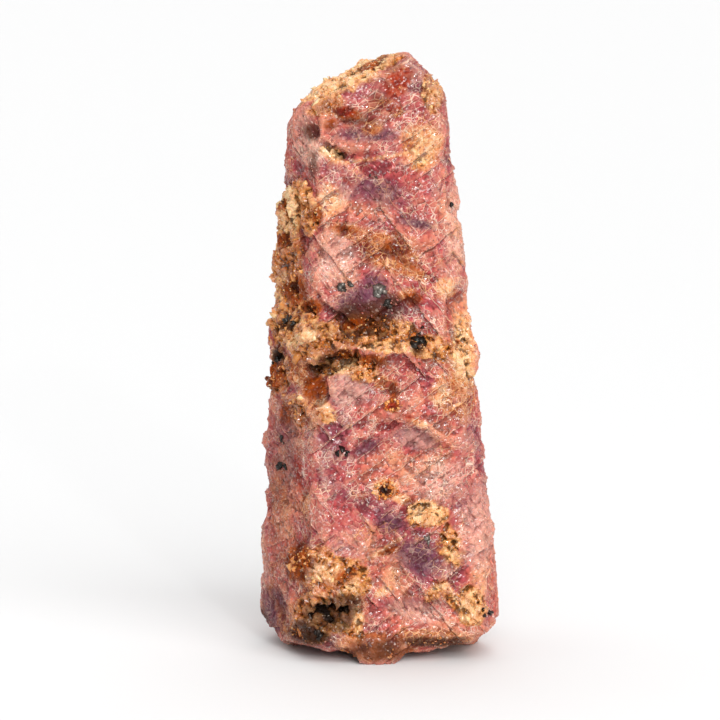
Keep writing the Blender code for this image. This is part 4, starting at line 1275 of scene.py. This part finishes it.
@dataclass(frozen=True)
class Grains:
    """Many small broken grains, half sunk in the skin, joined in one mesh.

    Attributes:
        seed: where their random numbers start.
        corners: about how many corners each has.
        flatness: how thick they are, where 1 is as thick as wide.
        sunk: how far they are sunk in, as a share of their size.
        shapes: how many different grains there are.
        tone_spread, iron_spread: how far their looks differ from those of their ground.
    """

    name: str
    finish: GrainFinish
    count: int = 0
    smallest: float = 0.0
    largest: float = 0.0
    seed: int = 0
    corners: int = 9
    flatness: float = 1.0
    sunk: float = 0.35
    shapes: int = 24
    tone_spread: float = 0.06
    iron_spread: float = 0.2

    def build(self, skin: Mesh, box: Box, weight: np.ndarray, tone: np.ndarray,
              iron: np.ndarray) -> Object:
        """Strews the grains.

        Args:
            skin: the mesh that they sit on.
            box: the box to stay in.
            weight: for each of its vertices, how thickly they lie there.
            tone: for each of its vertices, the tone of the grains there, from 0 to 1.
            iron: for each of its vertices, how stained they are, from 0 to 1.

        Returns:
            One object of all the grains.
        """
        chance = np.random.default_rng(self.seed)
        corners = triangle_corners(skin)
        points = points_of(skin)
        a, b, c = (points[corners[:, i]] for i in range(3))
        cross = np.cross(b - a, c - a)
        area = 0.5 * np.linalg.norm(cross, axis=1)
        share = area * weight[corners].mean(axis=1)
        picked = chance.choice(len(corners), size=self.count, p=share / share.sum())
        u, v = np.sqrt(chance.random(self.count)), chance.random(self.count)
        mix = np.column_stack((1.0 - u, u * (1.0 - v), u * v))
        spots = (mix[:, :, None] * points[corners[picked]]).sum(axis=1)
        outwards = cross[picked] / np.maximum(2.0 * area[picked], 1e-9)[:, None]
        tones, stains = (look[corners[picked]].mean(axis=1) + chance.normal(0.0, spread, self.count)
                         for look, spread in ((tone, self.tone_spread), (iron, self.iron_spread)))
        sizes = self.smallest + (self.largest - self.smallest) * chance.random(self.count) ** 2
        looks = np.column_stack((tones, np.clip(stains, 0.0, 1.0)))
        return self.join(chance, box, spots, outwards, sizes, looks)

    def set_out(self, stone: StoneMap, box: Box,
                plan: Callable[[np.random.Generator], Iterator[tuple[float, ...]]]) -> Object:
        """Sets the grains one by one where the picture shows them.

        Args:
            stone: the surface.
            box: the box to stay in.
            plan: gives each grain's place across and up, its size, its tone and its iron.

        Returns:
            One object of all the grains.
        """
        chance = np.random.default_rng(self.seed)
        across, up, sizes, tones, stains = np.array(list(plan(chance))).T
        spots = [stone.spot(seen(*place, 1.0, 1.0)) for place in zip(across, up)]
        outwards = [stone.tree.find_nearest(Vector(spot))[1] for spot in spots]
        return self.join(chance, box, np.array(spots), np.array(outwards), sizes,
                         np.column_stack((tones, stains)))

    def join(self, chance: np.random.Generator, box: Box, spots: np.ndarray, outwards: np.ndarray,
             sizes: np.ndarray, looks: np.ndarray) -> Object:
        """Copies a few grain shapes to all the spots, each turned its own way, into one mesh.

        Args:
            chance: where the random numbers come from.
            box: the box to stay in.
            spots: where the grains are, a row each.
            outwards: the way out of the stone at each.
            sizes: how wide each is.
            looks: the tone and the share of iron of each.

        Returns:
            One object of all the grains.
        """
        shapes = [broken_grain(chance, self.corners) for _ in range(self.shapes)]
        which = chance.integers(0, len(shapes), len(spots))
        turns = random_turns(chance, len(spots))
        all_points, all_faces, all_looks, start = [], [], [], 0
        for index, (shape, faces) in enumerate(shapes):
            mine = np.flatnonzero(which == index)
            local = np.einsum("nij,pj->npi", turns[mine], shape)
            lean = np.einsum("npi,ni->np", local, outwards[mine])
            local -= (1.0 - self.flatness) * lean[:, :, None] * outwards[mine][:, None, :]
            placed = local * (0.5 * sizes[mine])[:, None, None]
            lift = (0.5 - self.sunk) * sizes[mine] * self.flatness
            placed += (spots[mine] + outwards[mine] * lift[:, None])[:, None, :]
            base = start + np.arange(len(mine)) * len(shape)
            all_points.append(placed.reshape(-1, 3))
            all_faces.append((base[:, None, None] + faces[None]).reshape(-1, 3))
            all_looks.append(np.repeat(looks[mine], len(shape), axis=0))
            start += len(mine) * len(shape)
        piece = joined_mesh(self.name, np.concatenate(all_points), np.concatenate(all_faces),
                            np.concatenate(all_looks), self.finish.make())
        fit_inside(piece.data, box)
        return piece


def joined_mesh(name: str, points: np.ndarray, faces: np.ndarray, looks: np.ndarray,
                material: Material) -> Object:
    """An object with these triangles, and a tone and a share of iron for each of its points."""
    mesh = bpy.data.meshes.new(name)
    mesh.vertices.add(len(points))
    mesh.loops.add(len(faces) * 3)
    mesh.polygons.add(len(faces))
    mesh.loops.foreach_set("vertex_index", faces.astype(np.int32).ravel())
    mesh.polygons.foreach_set("loop_start", np.arange(0, len(faces) * 3, 3, dtype=np.int32))
    move_points(mesh, points)
    write_attribute(mesh, "tone", looks[:, 0])
    write_attribute(mesh, "iron", looks[:, 1])
    mesh.validate()
    mesh.materials.append(material)
    piece = bpy.data.objects.new(name, mesh)
    bpy.context.scene.collection.objects.link(piece)
    return piece


def triangle_corners(mesh: Mesh) -> np.ndarray:
    """The vertex numbers of each triangle, a row each."""
    mesh.calc_loop_triangles()
    corners = np.empty(len(mesh.loop_triangles) * 3, np.int32)
    mesh.loop_triangles.foreach_get("vertices", corners)
    return corners.reshape(-1, 3)


def random_turns(chance: np.random.Generator, count: int) -> np.ndarray:
    """Rotation matrices that turn each way equally often."""
    quaternions = chance.normal(size=(count, 4))
    quaternions = quaternions / np.linalg.norm(quaternions, axis=1, keepdims=True)
    w, x, y, z = quaternions.T
    return np.stack([
        np.stack([1 - 2 * (y * y + z * z), 2 * (x * y - z * w), 2 * (x * z + y * w)], axis=-1),
        np.stack([2 * (x * y + z * w), 1 - 2 * (x * x + z * z), 2 * (y * z - x * w)], axis=-1),
        np.stack([2 * (x * z - y * w), 2 * (y * z + x * w), 1 - 2 * (x * x + y * y)], axis=-1),
    ], axis=-2)


def broken_grain(chance: np.random.Generator, corners: int, nearest: float = 0.75,
                 spread: float = 0.4) -> tuple[np.ndarray, np.ndarray]:
    """A small convex grain with flat broken faces.

    Args:
        chance: where its random numbers come from.
        corners: about how many corners it has.
        nearest: how near its middle a corner may be.
        spread: how much farther out a corner may be.

    Returns:
        Its corners, about 1 from its middle, and its triangles.
    """
    spots = chance.normal(size=(corners, 3))
    spots /= np.linalg.norm(spots, axis=1, keepdims=True)
    spots *= nearest + spread * chance.random((corners, 1))
    bm = bmesh.new()
    for spot in spots:
        bm.verts.new(spot)
    hull = bmesh.ops.convex_hull(bm, input=bm.verts)
    inside = [item for item in hull["geom_interior"] if isinstance(item, bmesh.types.BMVert)]
    bmesh.ops.delete(bm, geom=inside, context="VERTS")
    bmesh.ops.triangulate(bm, faces=bm.faces)
    bmesh.ops.recalc_face_normals(bm, faces=bm.faces)
    bm.verts.index_update()
    points = np.array([vertex.co for vertex in bm.verts])
    faces = np.array([[vertex.index for vertex in face.verts] for face in bm.faces])
    bm.free()
    return points, faces


# Feldspar grains that iron has cemented: a sugary, half-glassy crust from dark brown to cream.
CRUST_GRAINS = GrainFinish(
    "feldspar_grains_cemented",
    ((0.0, "#4A2006"), (0.22, "#8A4614"), (0.45, "#BC702E"), (0.68, "#E0A05C"), (0.95, "#F4D4A4")),
    ((0.0, "#5A1A04"), (0.22, "#983E08"), (0.45, "#CC6A22"), (0.68, "#E8924A"), (0.95, "#F6C48C")),
)
# Broken splinters of corundum: small pink flakes with a duller shine than the fresh breaks.
RUBY_SHARDS = GrainFinish(
    "corundum_shards_broken",
    ((0.05, "#6E3C46"), (0.35, "#A0565A"), (0.6, "#BC7468"), (0.95, "#E0B0A0")),
    ((0.05, "#6A2A18"), (0.35, "#A65030"), (0.6, "#C8783E"), (0.95, "#E8B07A")),
    ior=1.768, roughness=0.22,
)
# Broken grains of iron ore: nearly black, with a half-metallic sheen on their faces.
DARK_GRAINS = GrainFinish(
    "iron_ore_grains_broken",
    ((0.0, "#181613"), (0.5, "#3D3A36"), (0.95, "#96928A")),
    ((0.0, "#1E1410"), (0.5, "#43352C"), (0.95, "#8C8078")),
    ior=1.5, roughness=0.22, subsurface=0.0, metallic=0.5, specular=0.5,
)


@dataclass(frozen=True)
class DarkCluster:
    """A few dark grains grown together: where, how wide, how many, and how grey."""

    across: float
    up: float
    width: float
    grains: int
    tone: float


DARK_CLUSTERS = (
    DarkCluster(0.2, 28.3, 1.1, 7, 0.75),
    DarkCluster(0.8, 27.4, 0.9, 5, 0.3),
    DarkCluster(-2.7, 28.8, 1.1, 5, 0.55),
    DarkCluster(3.2, 24.3, 1.2, 7, 0.12),
    DarkCluster(3.2, 25.3, 0.6, 3, 0.2),
    DarkCluster(-2.7, 15.7, 0.9, 5, 0.15),
    DarkCluster(-7.6, 16.5, 0.8, 4, 0.15),
    DarkCluster(-7.6, 14.6, 0.8, 5, 0.1),
    DarkCluster(-7.5, 13.2, 0.4, 2, 0.3),
    DarkCluster(-7.1, 26.2, 0.9, 5, 0.25),
    DarkCluster(-8.2, 23.0, 0.7, 4, 0.2),
    DarkCluster(5.8, 35.4, 0.5, 3, 0.15),
    DarkCluster(-0.5, 37.8, 0.5, 3, 0.6),
    DarkCluster(8.5, 2.9, 0.8, 4, 0.2),
    DarkCluster(4.0, 8.7, 0.8, 4, 0.85),
    DarkCluster(-6.0, 42.4, 0.35, 1, 0.2),
    DarkCluster(-4.9, 1.0, 0.9, 4, 0.2),
)


@dataclass
class DarkInclusions:
    """The dark mineral grains that show in the stone.

    Attributes:
        scatter: how far the grains lie from their cluster's middle, as a share of its width.
        least: the smallest grain, as a share of that width.
        tone_spread: how far their tones differ.
    """

    name: str = "dark_grains"
    seed: int = 71
    scatter: float = 0.27
    least: float = 0.5
    tone_spread: float = 0.08
    flatness: float = 0.6
    sunk: float = 0.42

    def plan(self, chance: np.random.Generator) -> Iterator[tuple[float, ...]]:
        """Says where each grain of each cluster goes. A grain on its own stays nearer its place."""
        for cluster in DARK_CLUSTERS:
            for _ in range(cluster.grains):
                across, up = (chance.normal(0.0, self.scatter * cluster.width, 2)
                              * min(1.0, 0.5 * cluster.grains))
                size = cluster.width * (self.least + (1.0 - self.least) * chance.random())
                tone = cluster.tone + chance.normal(0.0, self.tone_spread)
                yield cluster.across + across, cluster.up + up, size, tone, chance.random()

    def build(self, stone: StoneMap, box: Box) -> Object:
        """Sets each cluster into the surface where it is seen."""
        grains = Grains(self.name, DARK_GRAINS, seed=self.seed, flatness=self.flatness, sunk=self.sunk)
        return grains.set_out(stone, box, self.plan)


@dataclass(frozen=True)
class PitRim:
    """A ring of gold-stained grains round a pit: where it is seen, its radius, and how many."""

    across: float
    up: float
    radius: float
    grains: int


PIT_RIMS = (
    PitRim(0.5, 12.6, 0.72, 46),
    PitRim(-1.1, 22.0, 0.5, 30),
    PitRim(1.1, 19.3, 0.5, 16),
)


@dataclass
class GoldenRims:
    """The raised, iron-stained rims of the small round pits.

    Attributes:
        smallest, largest: the size of the grains.
        squash: how high a ring is against its width, as the picture shows it.
        scatter: how far the grains stray from the ring, as a share of its radius.
        tone, tone_spread, iron: how the grains look.
    """

    name: str = "pit_rims"
    seed: int = 29
    smallest: float = 0.12
    largest: float = 0.42
    squash: float = 0.85
    scatter: float = 0.2
    tone: float = 0.62
    tone_spread: float = 0.14
    iron: float = 0.9
    sunk: float = 0.3

    def plan(self, chance: np.random.Generator) -> Iterator[tuple[float, ...]]:
        """Says where each grain round each pit goes."""
        for rim in PIT_RIMS:
            for turn in np.linspace(0.0, 2.0 * math.pi, rim.grains, endpoint=False):
                radius = rim.radius * (1.0 + chance.normal(0.0, self.scatter))
                size = self.smallest + (self.largest - self.smallest) * chance.random()
                yield (rim.across + radius * math.cos(turn),
                       rim.up + self.squash * radius * math.sin(turn), size,
                       self.tone + chance.normal(0.0, self.tone_spread), self.iron)

    def build(self, stone: StoneMap, box: Box) -> Object:
        """Sets the grains round each pit, as the picture shows them."""
        grains = Grains(self.name, CRUST_GRAINS, seed=self.seed, sunk=self.sunk)
        return grains.set_out(stone, box, self.plan)


@dataclass(frozen=True)
class Sun:
    """A light that is far off and wide.

    Attributes:
        name: what it is called.
        towards: the direction that it comes from.
        share: how bright a white sheet that faces it gets, where 1 is white.
        angle: how wide it looks, in radians.
    """

    name: str
    towards: Place
    share: float
    angle: float


@dataclass(frozen=True)
class Studio:
    """The white sweep and the soft light that the stone stands in.

    Attributes:
        floor_size: the width of the floor, in metres.
        sky_range: how high up the sky begins to brighten and is brightest.
        sky_light: how bright it is low down and high up.
        suns: the wide soft lights.
        spark_place, spark_size, spark_power: the small soft box that makes the facets sparkle.
        spark_aim: how high on the stone it points.
    """

    floor_size: float = 20.0
    floor_colour: str = "#E4E4E4"
    floor_roughness: float = 0.9
    sky_range: Span = (0.15, 0.75)
    sky_light: Span = (0.09, 0.6)
    suns: tuple[Sun, ...] = (Sun("key", (0.34, -0.8, 0.62), 0.85, 1.1),
                             Sun("top", (-0.2, 0.6, 0.75), 0.39, 1.6))
    spark_place: Place = (60.0, -210.0, 110.0)
    spark_size: float = 8.0
    spark_power: float = 0.07
    spark_aim: float = 24.0

    def build(self) -> None:
        """Makes the floor, the sky and the lamps."""
        self.floor()
        self.sky()
        for sun in self.suns:
            data = bpy.data.lights.new(sun.name, "SUN")
            data.angle = sun.angle
            data.energy = sun.share * math.pi
            self.hang(data, sun.towards)
        data = bpy.data.lights.new("spark", "AREA")
        data.size = self.spark_size * METRES
        data.energy = self.spark_power
        lamp = self.hang(data, Vector(self.spark_place) - Vector((0.0, 0.0, self.spark_aim)))
        lamp.location = Vector(self.spark_place) * METRES
        bpy.context.scene.view_settings.view_transform = "Standard"

    def floor(self) -> None:
        """Lays the matt white paper that the stone stands on, which shows only soft shadows."""
        bpy.ops.mesh.primitive_plane_add(size=self.floor_size)
        floor = bpy.context.object
        floor.name = "floor"
        material = bpy.data.materials.new("white_paper_sweep")
        material.use_nodes = True
        graph = Graph(material.node_tree)
        shader = graph.add("BsdfPrincipled", {"Base Color": linear(self.floor_colour),
                                              "Roughness": self.floor_roughness})
        graph.add("OutputMaterial", {"Surface": shader})
        floor.data.materials.append(material)
        floor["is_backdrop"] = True

    def sky(self) -> None:
        """Lights the scene from all round, more from above."""
        world = bpy.data.worlds.new("soft_white")
        bpy.context.scene.world = world
        world.use_nodes = True
        graph = Graph(world.node_tree)
        direction = graph.add("TexCoord", out="Generated")
        height = graph.add("SeparateXYZ", (direction,), "Z")
        strength = graph.add("MapRange", (height, *self.sky_range, *self.sky_light))
        sky = graph.add("Background", {"Color": (1.0, 1.0, 1.0, 1.0), "Strength": strength})
        graph.add("OutputWorld", {"Surface": sky})

    def hang(self, data: Light, towards: Vector | Place) -> Object:
        """Puts a light in the scene that shines from this direction."""
        lamp = bpy.data.objects.new(data.name, data)
        lamp.rotation_mode = "QUATERNION"
        lamp.rotation_quaternion = Vector(towards).to_track_quat("Z", "Y")
        bpy.context.scene.collection.objects.link(lamp)
        return lamp


@dataclass(frozen=True)
class Ground:
    """How the loose grains lie on the skin, and how they look there.

    Attributes:
        crust_tone, ruby_tone: the tone of the crust's grains, and of the shards on clear stone.
        cream_tone, cavity_shade_tone, hollow_shade_tone, rust_tone: what each ground adds to the first.
        The second and third darken the grains in the cavities and hollows, as painted shade.
        pale_tone, violet_tone, sunken_shade_tone: what each ground adds to the second. The last darkens
        the shards in hollows, as painted shade.
        least_iron: how stained even the cleanest grains of the crust are.
        coarse_edge: where the biggest blocks begin and lie thickest, across the picture.
        anywhere: a weight so small that it only keeps the chances from being all 0.
        even_share, rugged_range: how thickly shards lie on an even place, and how rugged a place
            gets more of them, and most.
    """

    crust_tone: float = 0.52
    cream_tone: float = 0.4
    # Painted shade: darker grains deep in the cavities.
    cavity_shade_tone: float = -0.5
    # Painted shade: darker grains in the hollows.
    hollow_shade_tone: float = -0.3
    rust_tone: float = 0.06
    least_iron: float = 0.4
    coarse_edge: Span = (-3.5, -5.5)
    anywhere: float = 0.001
    ruby_tone: float = 0.45
    pale_tone: float = 0.3
    violet_tone: float = -0.3
    # Painted shade: darker shards in the hollows.
    sunken_shade_tone: float = -0.2
    even_share: float = 0.02
    rugged_range: Span = (0.15, 0.6)
    blocks: Grains = Grains("crust_blocks", CRUST_GRAINS, 130, 0.6, 1.3, 3, sunk=0.8)
    crust: tuple[Grains, ...] = (
        Grains("crust_chunks", CRUST_GRAINS, 480, 0.28, 0.7, 4, corners=8, sunk=0.7),
        Grains("crust_grains", CRUST_GRAINS, 1800, 0.14, 0.32, 5, corners=8, sunk=0.55),
        Grains("crust_sugar", CRUST_GRAINS, 2400, 0.08, 0.17, 6, corners=8, sunk=0.4))
    shards: Grains = Grains("ruby_shards", RUBY_SHARDS, 4000, 0.12, 0.34, 7, corners=8, flatness=0.5)

    def build(self, mesh: Mesh, box: Box) -> Iterator[Object]:
        """Strews the crust's grains and the shards, and gives each piece as it is done.

        Args:
            mesh: the skin that they sit on.
            box: the box to stay in.

        Returns:
            The pieces, one after the other.
        """
        crust, rust, cream, cavity_shade, pale, violet = (
            read_attribute(mesh, zone.value)
            for zone in (Zone.CRUST, Zone.RUST, Zone.CREAM, Zone.CAVITY_SHADE, Zone.PALE, Zone.VIOLET))
        hollow = read_attribute(mesh, "hollow")
        # The tone darkens in the cavities and hollows, as painted shade.
        tone = (self.crust_tone + self.cream_tone * cream + self.cavity_shade_tone * cavity_shade
                + self.hollow_shade_tone * hollow + self.rust_tone * rust)
        iron = np.maximum(rust, self.least_iron)
        on_crust = crust * (1.0 - cavity_shade) ** 2
        coarse = on_crust * smooth(*self.coarse_edge, CAMERA.in_picture(points_of(mesh))[:, 0])
        for grains, weight in ((self.blocks, coarse), *((grains, on_crust) for grains in self.crust)):
            yield grains.build(mesh, box, weight + self.anywhere, tone, iron)
        on_ruby = (1.0 - crust) * (1.0 - cavity_shade)
        rosy = self.ruby_tone + self.pale_tone * pale + self.violet_tone * violet
        rugged = on_ruby * (self.even_share + smooth(*self.rugged_range, np.abs(hollow)))
        # Shards in hollows are darkened, as painted shade.
        yield self.shards.build(mesh, box, rugged, rosy + self.sunken_shade_tone * hollow, rust)


def settle(piece: Object) -> None:
    """Makes a piece part of the stone and reports it."""
    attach(piece, "root")
    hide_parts(NODE)
    LOG.info("%s: %d faces", piece.name, len(piece.data.polygons))


def main() -> None:
    """Builds the stone, the studio and the camera."""
    logging.basicConfig(level=logging.INFO, format="%(message)s")
    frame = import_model()
    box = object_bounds()
    CAMERA.place()
    Studio().build()
    solid = frame["nodes"][NODE]
    skin = RubySkin().build(solid, box)
    settle(skin)
    for piece in Ground().build(skin.data, box):
        settle(piece)
    stone = StoneMap(solid.data)
    settle(GoldenRims().build(stone, box))
    settle(DarkInclusions().build(stone, box))
    bpy.context.view_layer.update()


if __name__ == "__main__":
    main()
